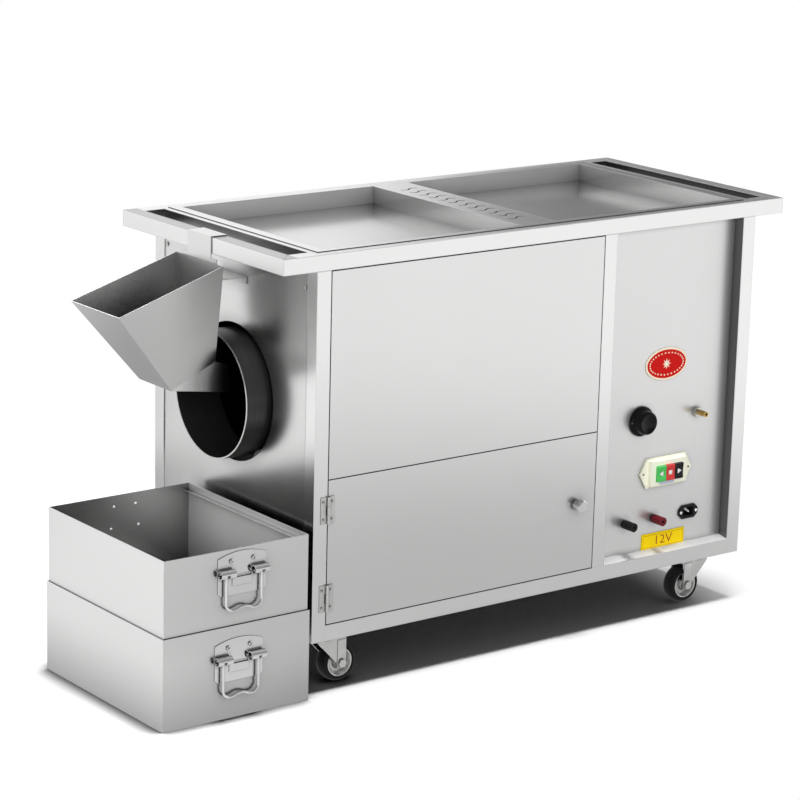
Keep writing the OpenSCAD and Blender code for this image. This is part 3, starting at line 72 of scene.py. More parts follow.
# The floor that metal mirrors is white with dim spots: a place, the reach of its core and of its edge,
# and a strength
DIM_SPOTS = (
    ((0.4, -0.6, 0.0), 0.3, 1.9, 0.56),
    ((-0.45, 0.85, 0.0), 0.15, 0.6, 0.38),
    ((-0.9, 1.15, 0.0), 0.12, 0.38, 0.3),
    ((-1.25, 1.85, 0.0), 0.12, 0.42, 0.35),
    ((-1.7, 2.65, 0.0), 0.12, 0.5, 0.35),
    ((-2.2, 3.5, 0.0), 0.12, 0.6, 0.35),
    ((-1.5, -2.2, 0.0), 0.5, 1.5, 0.05),
)
# The sky that metal mirrors is white, and dim round some axes: an axis, how near to it the dimming starts
# and is full, as cosines, and a strength
DIM_SKIES = (
    ((-0.3, -0.8, 0.52), 0.2, 0.5, 0.30),
    ((0.79, 0.56, 0.25), 0.945, 0.968, 0.22),
)

# Directions that a piece can face
FRONT, BACK = Vector((0, -1, 0)), Vector((0, 1, 0))
LEFT, UP = Vector((-1, 0, 0)), Vector((0, 0, 1))
HOPPER_FLOOR = (-0.6, 0.0, 0.8)

# What repeats by its place
ENDS, BINS = ("front", "rear"), ("lower", "upper")
CORNERS = [f"{end}_{side}" for end in ENDS for side in ("left", "right")]


# Shader sums

class Wire:
    """A shader socket that can stand in a sum: each sum adds a Math node to its tree."""

    def __init__(self, tree, socket=None):
        self.tree = tree
        self.socket = socket

    def node(self, kind, settings=None, inputs=None, output=0):
        """Adds one node: its settings first, then the values or links of its sockets."""
        made = self.tree.nodes.new(kind)
        for key, value in (settings or {}).items():
            setattr(made, key, value)
        for key, value in (inputs or {}).items():
            if isinstance(value, Wire):
                self.tree.links.new(value.socket, made.inputs[key])
            else:
                made.inputs[key].default_value = value
        return Wire(self.tree, made.outputs[output])

    def math(self, operation, first, second):
        """A number from two numbers."""
        return self.node("ShaderNodeMath", {"operation": operation}, {0: first, 1: second})

    def measure(self, operation, first, second):
        """A number from two vectors, such as their distance."""
        vectors = {0: first, 1: second}
        return self.node("ShaderNodeVectorMath", {"operation": operation}, vectors, "Value")

    def mix(self, factor, first, second):
        """One shader where the factor is 0, and another where it is 1."""
        return self.node("ShaderNodeMixShader", None, {0: factor, 1: first, 2: second})

    def smooth_step(self, value, low, high):
        """A soft step from 0 to 1 between two values."""
        reach = {"Value": value, "From Min": low, "From Max": high}
        return self.node("ShaderNodeMapRange", {"interpolation_type": "SMOOTHSTEP"}, reach)

    def __add__(self, other):
        return self.math("ADD", self, other)

    def __sub__(self, other):
        return self.math("SUBTRACT", self, other)

    def __rsub__(self, other):
        return self.math("SUBTRACT", other, self)

    def __mul__(self, other):
        return self.math("MULTIPLY", self, other)

    def __gt__(self, other):
        return self.math("GREATER_THAN", self, other)

    def __lt__(self, other):
        return self.math("LESS_THAN", self, other)

    __radd__ = __add__
    __rmul__ = __mul__


class Finish(Wire):
    """A material whose Principled shader takes plain values or sums."""

    def __init__(self, name):
        self.material = bpy.data.materials.new(name)
        self.material.use_nodes = True
        super().__init__(self.material.node_tree)
        self.shader = self.tree.nodes["Principled BSDF"]

    def set(self, **values):
        """Sets or links the shader's sockets, each by its name in small letters."""
        for key, value in values.items():
            socket = self.shader.inputs[key.replace("_", " ").title().replace("Ior", "IOR")]
            if isinstance(value, Wire):
                self.tree.links.new(value.socket, socket)
            else:
                socket.default_value = value

    def place(self, stretch=(1, 1, 1)):
        """The place on the piece, in metres, drawn out or packed along each axis."""
        where = self.node("ShaderNodeTexCoord", output="Object")
        return self.node("ShaderNodeMapping", None, {"Vector": where, "Scale": stretch})

    def axis(self, letter):
        """One coordinate of the place on the piece, in metres."""
        return self.node("ShaderNodeSeparateXYZ", None, {"Vector": self.place()}, output=letter)

    def inside(self, low, high):
        """1 within a box, and 0 outside it."""
        mask = 1.0
        for letter, least, most in zip("XYZ", low, high):
            along = self.axis(letter)
            mask = mask * (along > least) * (along < most)
        return mask

    def looks(self, direction):
        """1 where the surface looks along a direction, and 0 elsewhere."""
        normal = self.node("ShaderNodeNewGeometry", output="True Normal")
        return self.measure("DOT_PRODUCT", normal, direction) > 0.7

    def open_air(self, reach):
        """1 on open surfaces, and less in creases and slits that are narrower than the reach; the finishes
        paint shade into those creases with it.
        """
        return self.node("ShaderNodeAmbientOcclusion", {"samples": 6}, {"Distance": reach}, output="AO")

    def noise(self, scale, stretch=(1, 1, 1), detail=2.0):
        """Soft noise from 0 to 1."""
        inputs = {"Vector": self.place(stretch), "Scale": scale, "Detail": detail}
        return self.node("ShaderNodeTexNoise", None, inputs)

    def blend(self, factor, low, high):
        """A colour between two colours, which may be sums themselves."""
        low, high = (c if isinstance(c, Wire) else (*c, 1) for c in (low, high))
        colours = {"Factor": factor, 6: low, 7: high}
        return self.node("ShaderNodeMix", {"data_type": "RGBA"}, colours, output=2)

    def bump(self, height, depth, edge=0.0):
        """A bumped normal; depth is in metres, and edge rounds the sharp edges by that radius."""
        inputs = {"Height": height, "Distance": depth, "Strength": 1.0}
        if edge:
            inputs["Normal"] = self.rounded(edge)
        return self.node("ShaderNodeBump", None, inputs)

    def rounded(self, radius):
        """A normal that turns softly over sharp edges."""
        return self.node("ShaderNodeBevel", {"samples": 4}, {"Radius": radius})


def grey(level):
    """A plain grey."""
    return (level, level, level)


def tinted(colour, share):
    """A colour made darker or lighter by a share."""
    return tuple(min(1.0, c * share) for c in colour)


STEEL = (0.83, 0.83, 0.825)


def brushed_steel(name, grain, tone=STEEL, roughness=0.25, shade_reach=40 * MM, dull=(), shaded_below=None):
    """Stainless sheet with fine brush lines along the grain axis, faint handling marks and painted shade in
    its creases.

    Each dull side is a direction and how much metal shows on the faces that look that way. Faces below a
    height can be painted near black: painted shade in slits and under the sheet.
    """
    f = Finish(name)
    along, across = 3.0, 420.0
    stretch = [along if letter == grain else across for letter in "XYZ"]
    lines = f.noise(1.0, stretch, 3.0)
    marks = f.noise(5.0, (1, 1, 1), 3.0)
    grain_tone = lines * 0.6 + marks * 0.4
    colour = f.blend(grain_tone, tinted(tone, 0.97), tinted(tone, 1.03))
    metal = 1.0
    for side, share in dull:
        metal = metal - f.looks(side) * (1.0 - share)
    # Painted shade: faces below the height turn near black
    if shaded_below:
        colour = f.blend(f.axis("Z") < shaded_below, colour, grey(0.012))
    # Painted shade: the base colour darkens in creases, out to the shade reach
    f.set(base_color=f.blend(f.open_air(shade_reach), tinted(tone, 0.12), colour), metallic=metal)
    f.set(roughness=roughness - 0.05 + lines * 0.04 + marks * 0.06)
    f.set(normal=f.rounded(0.9 * MM))
    return f.material


def satin_tube(name, tone, roughness, dark):
    """Ground stainless tube: fine cross-hatched grinding, soft corners, and painted shade and a painted
    dimmer reflection on the walls inside some boxes.
    """
    f = Finish(name)
    length_lines = f.noise(1.0, (4.0, 380.0, 380.0), 2.0)
    cross_lines = f.noise(1.0, (380.0, 380.0, 4.0), 2.0)
    clouds = f.noise(7.0, (1, 1, 1), 3.0)
    grinding = length_lines * 0.5 + cross_lines * 0.5
    colour = f.blend(grinding * 0.5 + clouds * 0.5, tinted(tone, 0.94), tinted(tone, 1.05))
    # Painted shade, and a painted dimmer reflection, on the walls inside each box
    for low, high, shade in dark:
        colour = f.blend(f.inside(low, high), colour, grey(shade))
    f.set(base_color=colour, metallic=1.0)
    f.set(roughness=roughness - 0.06 + grinding * 0.08 + clouds * 0.06)
    f.set(normal=f.bump(grinding, 0.015 * MM, 2.0 * MM))
    return f.material


def heat_dark_steel(name, mouth_x):
    """Drum steel: blued and sooty, with a pale edge face at its mouth."""
    f = Finish(name)
    soot = f.noise(9.0, (1, 1, 1), 4.0)
    rings = f.noise(1.0, (260.0, 6.0, 6.0), 2.0)
    dark = f.blend(soot * 0.5 + rings * 0.5, (0.042, 0.042, 0.0415), (0.11, 0.11, 0.109))
    pale_mouth_edge = f.axis("X") < mouth_x + 0.6 * MM
    f.set(base_color=f.blend(pale_mouth_edge, dark, (0.72, 0.72, 0.7)), metallic=0.85)
    f.set(roughness=0.3 + soot * 0.1 - pale_mouth_edge * 0.1)
    f.set(normal=f.bump(rings, 0.02 * MM, 0.8 * MM))
    return f.material


def chrome(name):
    """Bright plating with a faint orange-peel ripple, finger haze, and painted shade in its creases."""
    f = Finish(name)
    tone = (0.88, 0.88, 0.89)
    ripple = f.noise(160.0, (1, 1, 1), 1.0)
    haze = f.noise(24.0, (1, 1, 1), 3.0)
    plate = f.blend(haze, tinted(tone, 0.94), tinted(tone, 1.04))
    # Painted shade: the plate darkens in creases
    f.set(base_color=f.blend(f.open_air(10 * MM), grey(0.02), plate), metallic=1.0)
    f.set(roughness=0.09 + haze * 0.1)
    f.set(normal=f.bump(ripple, 0.02 * MM, 0.4 * MM))
    return f.material


def zinc(name):
    """Bright zinc plating: pale, slightly warm, cloudy, with painted shade in its creases."""
    f = Finish(name)
    clouds = f.noise(60.0, (1, 1, 1), 4.0)
    plate = f.blend(clouds, (0.66, 0.66, 0.65), (0.84, 0.84, 0.83))
    # Painted shade: the plate darkens in creases
    f.set(base_color=f.blend(f.open_air(12 * MM), grey(0.04), plate), metallic=1.0)
    f.set(roughness=0.16 + clouds * 0.14)
    f.set(normal=f.bump(clouds, 0.03 * MM, 0.6 * MM))
    return f.material


def moulded(name, colour, roughness, grain=0.02 * MM, shine=0.5):
    """Moulded plastic: fine spark grain, slight shade changes."""
    f = Finish(name)
    spark = f.noise(900.0, (1, 1, 1), 2.0)
    cloud = f.noise(30.0, (1, 1, 1), 2.0)
    f.set(base_color=f.blend(cloud, tinted(colour, 0.88), tinted(colour, 1.08)))
    f.set(roughness=roughness - 0.04 + spark * 0.1, specular_ior_level=shine)
    f.set(normal=f.bump(spark, grain, 0.5 * MM))
    return f.material


def turned_brass(name, nut_y):
    """Turned brass tail behind a nickel-plated nut; the nut starts at nut_y."""
    f = Finish(name)
    lines = f.noise(1.0, (40.0, 1800.0, 40.0), 2.0)
    brass = f.blend(lines, (0.62, 0.40, 0.12), (0.80, 0.56, 0.22))
    nickel = f.blend(lines, (0.66, 0.65, 0.6), (0.76, 0.75, 0.7))
    f.set(base_color=f.blend(f.axis("Y") > nut_y, brass, nickel), metallic=1.0)
    f.set(roughness=0.2 + lines * 0.12)
    f.set(normal=f.bump(lines, 0.02 * MM, 0.3 * MM))
    return f.material


def tyre_rubber(name):
    """Black solid rubber with dust in its pores."""
    f = Finish(name)
    pores = f.noise(700.0, (1, 1, 1), 3.0)
    dust = f.noise(40.0, (1, 1, 1), 3.0)
    f.set(base_color=f.blend(dust * 0.7 + pores * 0.3, grey(0.003), grey(0.010)))
    f.set(roughness=0.45 + dust * 0.25, specular_ior_level=0.2)
    f.set(normal=f.bump(pores, 0.05 * MM))
    return f.material


def cast_metal(name, colour, metallic=0.6):
    """Cast or painted inner parts: coarse skin."""
    f = Finish(name)
    skin = f.noise(260.0, (1, 1, 1), 4.0)
    f.set(base_color=f.blend(skin, tinted(colour, 0.75), tinted(colour, 1.2)), metallic=metallic)
    f.set(roughness=0.5 + skin * 0.2)
    f.set(normal=f.bump(skin, 0.15 * MM, 0.8 * MM))
    return f.material


def printed(name, colour, roughness=0.35):
    """Printed enamel or film: an even ink with a faint screen texture."""
    f = Finish(name)
    screen = f.noise(1400.0, (1, 1, 1), 1.0)
    f.set(base_color=f.blend(screen, tinted(colour, 0.94), tinted(colour, 1.04)))
    f.set(roughness=roughness - 0.03 + screen * 0.06)
    f.set(specular_ior_level=0.25)
    return f.material


# Modelling by hand

# Edges flatter than this are shaded smooth
SMOOTH_ANGLE = math.radians(35)


def begin():
    """Leaves edit mode and selects nothing, so that the next primitive is alone."""
    if bpy.context.object and bpy.context.object.mode != "OBJECT":
        bpy.ops.object.mode_set(mode="OBJECT")
    bpy.ops.object.select_all(action="DESELECT")


def settle(name, finishes):
    """Names the active piece, puts its place into its mesh, gives it its finishes."""
    if bpy.context.object.mode != "OBJECT":
        bpy.ops.object.mode_set(mode="OBJECT")
    piece = bpy.context.object
    piece.name = piece.data.name = name
    bpy.ops.object.transform_apply(location=True, rotation=True, scale=True)
    bpy.ops.object.shade_smooth_by_angle(angle=SMOOTH_ANGLE)
    for finish in finishes:
        piece.data.materials.append(finish)
    return piece


def select_faces(test):
    """In edit mode, selects the faces whose normals pass a test."""
    bpy.ops.mesh.select_mode(type="FACE")
    bpy.ops.mesh.select_all(action="DESELECT")
    bpy.ops.object.mode_set(mode="OBJECT")
    for face in bpy.context.object.data.polygons:
        face.select = test(face.normal)
    bpy.ops.object.mode_set(mode="EDIT")


def facing(direction):
    """A test for the faces that look along a direction."""
    return lambda normal: normal.dot(direction) > 0.9


def use_finish(index):
    """In edit mode, gives the selected faces one of the piece's finishes by its number."""
    bpy.ops.object.mode_set(mode="OBJECT")
    for face in bpy.context.object.data.polygons:
        if face.select:
            face.material_index = index
    bpy.ops.object.mode_set(mode="EDIT")


def turn_to(direction):
    """The turn that takes +Z to a direction."""
    return UP.rotation_difference(direction).to_matrix().to_4x4()


def copy_to(pattern, name, at, direction, twist):
    """A copy of a pattern piece, with its own mesh, set at a place, facing a direction and twisted."""
    piece = pattern.copy()
    piece.data = pattern.data.copy()
    piece.name = piece.data.name = name
    move = Matrix.Translation(at) @ turn_to(direction) @ Matrix.Rotation(twist, 4, "Z")
    piece.data.transform(move)
    bpy.context.scene.collection.objects.link(piece)
    return piece


# Facets round a turned piece
TURN_STEPS = 72


def turned(name, profile, finishes):
    """A piece turned about Z from a profile of radius and height pairs, drawn point by point and spun."""
    begin()
    bpy.ops.mesh.primitive_plane_add(size=MM)
    bpy.ops.object.mode_set(mode="EDIT")
    bpy.ops.mesh.select_mode(type="VERT")
    bpy.ops.mesh.merge(type="CENTER")
    at = Vector((profile[0][0], 0, profile[0][1]))
    bpy.ops.transform.translate(value=at)
    for radius, height in profile[1:]:
        step = Vector((radius, 0, height)) - at
        bpy.ops.mesh.extrude_region_move(TRANSFORM_OT_translate={"value": step})
        at = at + step
    bpy.ops.mesh.select_all(action="SELECT")
    bpy.ops.mesh.spin(steps=TURN_STEPS, angle=2 * math.pi, center=(0, 0, 0), axis=(0, 0, 1))
    bpy.ops.mesh.select_all(action="SELECT")
    bpy.ops.mesh.remove_doubles(threshold=0.01 * MM)
    bpy.ops.mesh.normals_make_consistent(inside=False)
    return settle(name, finishes)


def block(name, low, high, finishes, bevel=0.4 * MM):
    """A box between two corners with softened edges."""
    begin()
    low, high = Vector(low), Vector(high)
    bpy.ops.mesh.primitive_cube_add(size=1, location=(low + high) / 2, scale=high - low)
    bpy.ops.object.transform_apply(location=True, rotation=True, scale=True)
    bpy.ops.object.mode_set(mode="EDIT")
    bpy.ops.mesh.select_all(action="SELECT")
    bpy.ops.mesh.bevel(offset=bevel, segments=2, affect="EDGES")
    return settle(name, finishes)


def set_finish(material, *names):
    """Gives CAD nodes a finish."""
    for name in names:
        slots = nodes[name].data.materials
        slots.clear()
        slots.append(material)


def on_body(piece, body):
    """A piece that rides on a body."""
    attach(piece, body)


# Camera, floor and light

def add_camera():
    """A camera at the photograph's place, with its turn and its lens."""
    camera = bpy.data.objects.new("camera", bpy.data.cameras.new("camera"))
    camera.data.lens = CAMERA_LENS
    camera.data.sensor_width = SENSOR
    turn = Matrix.Rotation(-CAMERA_YAW, 4, "Z") @ Matrix.Rotation(math.pi / 2 - CAMERA_PITCH, 4, "X")
    camera.matrix_world = Matrix.Translation(CAMERA_AT) @ turn @ Matrix.Rotation(CAMERA_ROLL, 4, "Z")
    camera.data.clip_end = 100
    bpy.context.scene.collection.objects.link(camera)
    bpy.context.scene.camera = camera


def seen_in_metal(wire):
    """1 for the rays that metal mirrors to the camera, and 0 for those that light matt pieces."""
    glossy = wire.node("ShaderNodeLightPath", output="Is Glossy Ray")
    return glossy * (wire.node("ShaderNodeLightPath", output="Diffuse Depth") < 0.5)


def seen_white(wire):
    """1 for the rays that see the white background itself: the camera's, and those through glass."""
    camera = wire.node("ShaderNodeLightPath", output="Is Camera Ray")
    through = wire.node("ShaderNodeLightPath", output="Is Transmission Ray")
    return wire.math("MAXIMUM", camera, through)


def glow(wire, kind, strength):
    """A white shader that gives off light by itself."""
    return wire.node(kind, None, {"Color": (1, 1, 1, 1), "Strength": strength})


def add_world(sky_strength):
    """Even light, in front of a white background; metal mirrors a sky with dim parts."""
    world = bpy.data.worlds.new("studio")
    world.use_nodes = True
    bpy.context.scene.world = world
    tree = world.node_tree
    wire = Wire(tree)
    lit, white = (glow(wire, "ShaderNodeBackground", strength) for strength in (sky_strength, 1.0))
    direction = wire.node("ShaderNodeTexCoord", output="Generated")
    mirrored = white
    for axis, low, high, strength in DIM_SKIES:
        near = wire.smooth_step(wire.measure("DOT_PRODUCT", direction, axis), low, high)
        mirrored = wire.mix(near, mirrored, glow(wire, "ShaderNodeBackground", strength))
    glossy = wire.mix(seen_in_metal(wire), lit, mirrored)
    mixed = wire.mix(seen_white(wire), glossy, white)
    tree.links.new(mixed.socket, tree.nodes["World Output"].inputs["Surface"])


def add_floor():
    """A wide pale floor: it keeps the shadow near the cart, has a painted contact shadow round what stands on
    it, and meets the white background further out.
    """
    begin()
    bpy.ops.mesh.primitive_plane_add(size=FLOOR_SIZE, location=(0, 0, 0))
    floor = bpy.context.object
    floor.name = "floor"
    material = bpy.data.materials.new("pale_floor")
    material.use_nodes = True
    tree = material.node_tree
    wire = Wire(tree)
    where = wire.node("ShaderNodeTexCoord", output="Object")
    paint, shade = (
        wire.node("ShaderNodeBsdfDiffuse", None, {"Color": (*grey(tone), 1)})
        for tone in (FLOOR_TONE, FLOOR_BOUNCE)
    )
    white = glow(wire, "ShaderNodeEmission", 1.0)
    # Painted contact shadow: the floor's colour turns dark close to things that stand on it
    painted_contact = wire.node("ShaderNodeAmbientOcclusion", {"samples": 8}, {"Distance": CONTACT_REACH}, "AO")
    paint = wire.mix(wire.smooth_step(painted_contact, 0.4, 0.9), shade, paint)
    far = wire.smooth_step(wire.measure("DISTANCE", where, FLOOR_MIDDLE), FLOOR_NEAR, FLOOR_FAR)
    faded = wire.mix(far, paint, white)
    mirrored = white
    for at, core, edge, strength in DIM_SPOTS:
        clear = wire.smooth_step(wire.measure("DISTANCE", where, at), core, edge)
        mirrored = wire.mix(clear, glow(wire, "ShaderNodeEmission", strength), mirrored)
    glossy = wire.mix(seen_in_metal(wire), shade, mirrored)
    mixed = wire.mix(seen_white(wire), glossy, faded)
    tree.links.new(mixed.socket, tree.nodes["Material Output"].inputs["Surface"])
    floor.data.materials.append(material)
    return floor


def add_lamp(name, at, aim, size, power, kept_off=None):
    """A soft square lamp that looks at a point; it may be kept off one object, as by a flag."""
    lamp = bpy.data.objects.new(name, bpy.data.lights.new(name, "AREA"))
    lamp.data.shape = "RECTANGLE"
    lamp.data.size, lamp.data.size_y = size
    lamp.data.energy = power
    lamp.visible_glossy = False
    look = (Vector(aim) - Vector(at)).to_track_quat("-Z", "Y")
    lamp.matrix_world = Matrix.Translation(at) @ look.to_matrix().to_4x4()
    bpy.context.scene.collection.objects.link(lamp)
    if kept_off:
        flagged = bpy.data.collections.new(name + "_flag")
        flagged.objects.link(kept_off)
        flagged.collection_objects[0].light_linking.link_state = "EXCLUDE"
        lamp.light_linking.receiver_collection = flagged


add_camera()
add_world(0.12)
floor = add_floor()
middle = (solid_box[0] + solid_box[1]) / 2
add_lamp("top_softbox", (0.2, -0.6, 14.0), middle, (3.2, 3.2), 2900)
add_lamp("front_softbox", (-1.2, -3.6, 1.7), middle, (2.4, 1.6), 130, floor)
add_lamp("side_softbox", (-4.0, -0.6, 1.9), middle, (1.6, 1.6), 90, floor)
bpy.context.scene.view_settings.view_transform = "Standard"

# Finishes of the CAD nodes

# The rim's tube and where the cabinet's end starts behind the rim
TUBE, OVERHANG = 30 * MM, 73 * MM


def painted_shade_walls():
    """Boxes a hair wider than the rim's hand gaps, the top of its left tube and the control recess's right
    side, where the walls are painted darker: painted shade in the gaps and the recess, and a painted dimmer
    reflection on the left top.

    Each comes with how pale its surfaces are.
    """
    low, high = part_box("table_rim")
    hair = 0.3 * MM
    inner_y = low.y + TUBE - hair, high.y - TUBE + hair
    # Painted shade in the two hand gaps
    for x0, x1, shade in ((low.x + TUBE, low.x + OVERHANG, 0.42), (high.x - OVERHANG, high.x - TUBE, 0.25)):
        yield (x0 - hair, inner_y[0], low.z), (x1 + hair, inner_y[1], high.z - hair), shade
    # Painted dimmer reflection on the top of the rim's left tube
    yield (low.x - hair, low.y - hair, high.z - hair), (low.x + TUBE, high.y + hair, high.z + hair), 0.5
    # Painted shade on the control recess's right side
    low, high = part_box("control_panel")
    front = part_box("cabinet_frame")[0].y
    yield (high.x - hair, front + 1 * MM, low.z - hair), (high.x + hair, low.y + hair, high.z), 0.17


# Each steel's shade reach sets how far painted shade reaches out of its creases; in the pans, bins and hopper
# it darkens the insides
sheet_x = brushed_steel("sheet_brushed_along", "X")
sheet_z = brushed_steel("sheet_brushed_upright", "Z")
deck_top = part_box("warming_deck")[1].z
deck_sheet = brushed_steel("deck_sheet", "X", roughness=0.16, shade_reach=10 * MM, shaded_below=deck_top - 0.1 * MM)
# The pans and the hopper are toned darker than the other sheet steel, and the control panel lighter: painted
# shade and painted light
pan_sheet = brushed_steel("pan_sheet", "X", tinted(STEEL, 0.93), 0.16, 80 * MM, [(FRONT, 0.6), (LEFT, 0.75)])
bin_sheet = brushed_steel("bin_sheet", "X", shade_reach=130 * MM, dull=[(LEFT, 0.45)])
hopper_sheet = brushed_steel("hopper_sheet", "Z", tinted(STEEL, 0.9), 0.25, 160 * MM, [(HOPPER_FLOOR, 0.3)])
control_sheet = brushed_steel("control_sheet", "Z", tinted(STEEL, 1.02), 0.34, 15 * MM, [(FRONT, 0.88)])
# The ground tube is toned lighter than the sheet steel: painted light
tube_finish = satin_tube("ground_tube", (0.92, 0.92, 0.915), 0.24, painted_shade_walls())
chrome_finish = chrome("chrome_plate")
zinc_finish = zinc("zinc_plate")
black_finish = moulded("black_moulding", grey(0.008), 0.3, shine=0.2)
knob_finish = moulded("gloss_black_moulding", grey(0.003), 0.08, 0.002 * MM, 0.18)
red_finish = moulded("red_moulding", (0.13, 0.006, 0.012), 0.28, shine=0.3)
green_finish = moulded("green_moulding", (0.06, 0.52, 0.10), 0.3)
stop_finish = moulded("stop_red_moulding", (0.62, 0.03, 0.03), 0.3)
cream_finish = moulded("cream_moulding", (0.96, 0.95, 0.78), 0.4)
pale_finish = moulded("pale_plating", (0.8, 0.8, 0.78), 0.3)
rubber_finish = tyre_rubber("black_rubber")
iron_finish = cast_metal("cast_iron_skin", (0.13, 0.13, 0.135))
grey_finish = cast_metal("plain_bracket_steel", grey(0.40), 0.9)
drum_finish = heat_dark_steel("heat_darkened_steel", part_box("drum_neck")[0].x)
brass_finish = cast_metal("brass_fittings", (0.62, 0.44, 0.16), 1.0)
panel_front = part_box("control_panel")[0].y
NUT_DEPTH = 9 * MM
nipple_finish = turned_brass("turned_brass", panel_front - NUT_DEPTH)

set_finish(tube_finish, "cabinet_frame", "table_rim")
set_finish(sheet_x, "upper_front_panel", "lower_door", "closing_panels", "floor_pan")
set_finish(bin_sheet, "lower_bin", "upper_bin")
set_finish(hopper_sheet, "hopper")
set_finish(deck_sheet, "warming_deck")
set_finish(pan_sheet, "left_pan", "right_pan")
set_finish(control_sheet, "control_panel")
set_finish(sheet_z, "left_end_panel", "hopper_brackets", "bulkhead")
set_finish(zinc_finish, "hinge_frame_leaves", "hinge_door_leaves", "caster_plates")
set_finish(zinc_finish, *(f"{corner}_fork" for corner in CORNERS))
set_finish(drum_finish, "drum_neck", "drum_shell", "drum_flights")
set_finish(grey_finish, "support_brackets", "drum_shaft", "front_roller", "rear_roller", "power_supply")
set_finish(iron_finish, "burner", "shaft_bearing", "drum_pulley", "motor_pulley", "gear_motor")
set_finish(brass_finish, "gas_pipe", "gas_valve")
set_finish(nipple_finish, "gas_inlet")
set_finish(knob_finish, "gas_knob")
set_finish(black_finish, "negative_cap", "power_inlet", "reverse_button", "terminal_posts")
set_finish(red_finish, "positive_cap")
set_finish(stop_finish, "stop_button")
set_finish(green_finish, "forward_button")
set_finish(cream_finish, "switch_housing")
set_finish(rubber_finish, "drive_belt")
set_finish(chrome_finish, "door_latch", "lower_handle_plates", "upper_handle_plates")
set_finish(chrome_finish, *(f"{which}_{end}_bail" for which in BINS for end in ENDS))


# Caster wheels

# The tread's rounded shoulder, and the dish of a hub: radius and depth below the hub's end, in millimetres
SHOULDER = 5 * MM
HUB_DISH = [(6.2, 0), (11, 0), (12, 3), (14, 8), (20, 9), (23, 5), (25, 1.5), (27, 1)]


def caster_wheel(name):
    """Tyre with a rounded tread and a dished hub, in place of a plain wheel solid."""
    low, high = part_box(name)
    centre, radius = (low + high) / 2, (high.z - low.z) / 2
    half = (high.y - low.y) / 2
    tread = half - 1 * MM
    seat, seat_half = radius * 0.74, tread - 2 * MM
    arc = [math.radians(a) for a in range(90, -91, -30)]
    crown = [(radius - SHOULDER + SHOULDER * math.cos(a), tread * math.sin(a)) for a in arc]
    band = [(seat, seat_half), *crown, (seat, -seat_half), (seat, seat_half)]
    tyre = turned(name + "_tyre", band, [rubber_finish])
    dish = [*((r * MM, half - deep * MM) for r, deep in HUB_DISH), (seat, half - 3 * MM)]
    mirrored = [(r, -z) for r, z in reversed(dish)]
    hub = turned(name + "_hub", [*dish, *mirrored, dish[0]], [zinc_finish])
    for piece, slot in ((tyre, "wheel_rubber"), (hub, "zinc_steel")):
        piece.data.transform(Matrix.Translation(centre) @ turn_to(BACK))
        on_body(piece, name)
    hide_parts(name)


for corner in CORNERS:
    caster_wheel(f"{corner}_wheel")


# Straps pressed into the caster forks, from the axle up to the crown, on faces this far from the middle
FORK_OUT, STRAP_W, STRAP_T, STRAP_UP = 19.5 * MM, 19 * MM, 1.2 * MM, 46 * MM
for corner in CORNERS:
    wheel_low, wheel_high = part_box(f"{corner}_wheel")
    axle = (wheel_low + wheel_high) / 2
    for name, face in (("front", -1), ("back", 1)):
        inner = axle.y + face * FORK_OUT
        outer = inner + face * STRAP_T
        strap = block(f"{corner}_fork_strap_{name}",
                      (axle.x - STRAP_W / 2, min(inner, outer), axle.z),
                      (axle.x + STRAP_W / 2, max(inner, outer), axle.z + STRAP_UP), [zinc_finish])
        on_body(strap, f"{corner}_fork")


# Black sheet under the vent slits: painted shade seen through them
DECK_T, SHADE_SHEET_T, SHADE_SHEET_GAP = 1.2 * MM, 1.2 * MM, 0.4 * MM
SHADE_SHEET_IN = Vector((1, 5, 0)) * MM
left_pan, right_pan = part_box("left_pan"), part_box("right_pan")
shade_sheet_top = deck_top - DECK_T - SHADE_SHEET_GAP
# A black sheet as painted shade, so that the slits read dark
shade_sheet = block("vent_shade_sheet",
             Vector((left_pan[1].x, left_pan[0].y, shade_sheet_top - SHADE_SHEET_T)) + SHADE_SHEET_IN,
             Vector((right_pan[0].x, left_pan[1].y, shade_sheet_top)) - SHADE_SHEET_IN, [rubber_finish], 0.2 * MM)
on_body(shade_sheet, "cabinet")


# Silver blades in the mains inlet
inlet_low, inlet_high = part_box("power_inlet")
inlet_x, inlet_z = (inlet_low.x + inlet_high.x) / 2, (inlet_low.z + inlet_high.z) / 2
BLADE_W, BLADE_H, BLADE_FRONT, BLADE_BACK = 2.3 * MM, 4.3 * MM, 3.8 * MM, 15 * MM
for number, (out, up) in enumerate(((-7 * MM, -2 * MM), (7 * MM, -2 * MM), (0, 3 * MM))):
    x, z = inlet_x + out, inlet_z + up
    blade = block(f"inlet_blade_{number + 1}",
                  (x - BLADE_W / 2, panel_front + BLADE_FRONT, z - BLADE_H / 2),
                  (x + BLADE_W / 2, panel_front + BLADE_BACK, z + BLADE_H / 2), [pale_finish], 0.2 * MM)
    on_body(blade, "cabinet")


# Screws and rivets

# A head's height as a share of its radius, its cross recess as shares of radius and height, and the turn from
# one screw to the next
HEAD_UP, RECESS_LONG, RECESS_WIDE, RECESS_DEEP, NEXT_TURN = 0.5, 1.1, 0.22, 1.1, 0.7


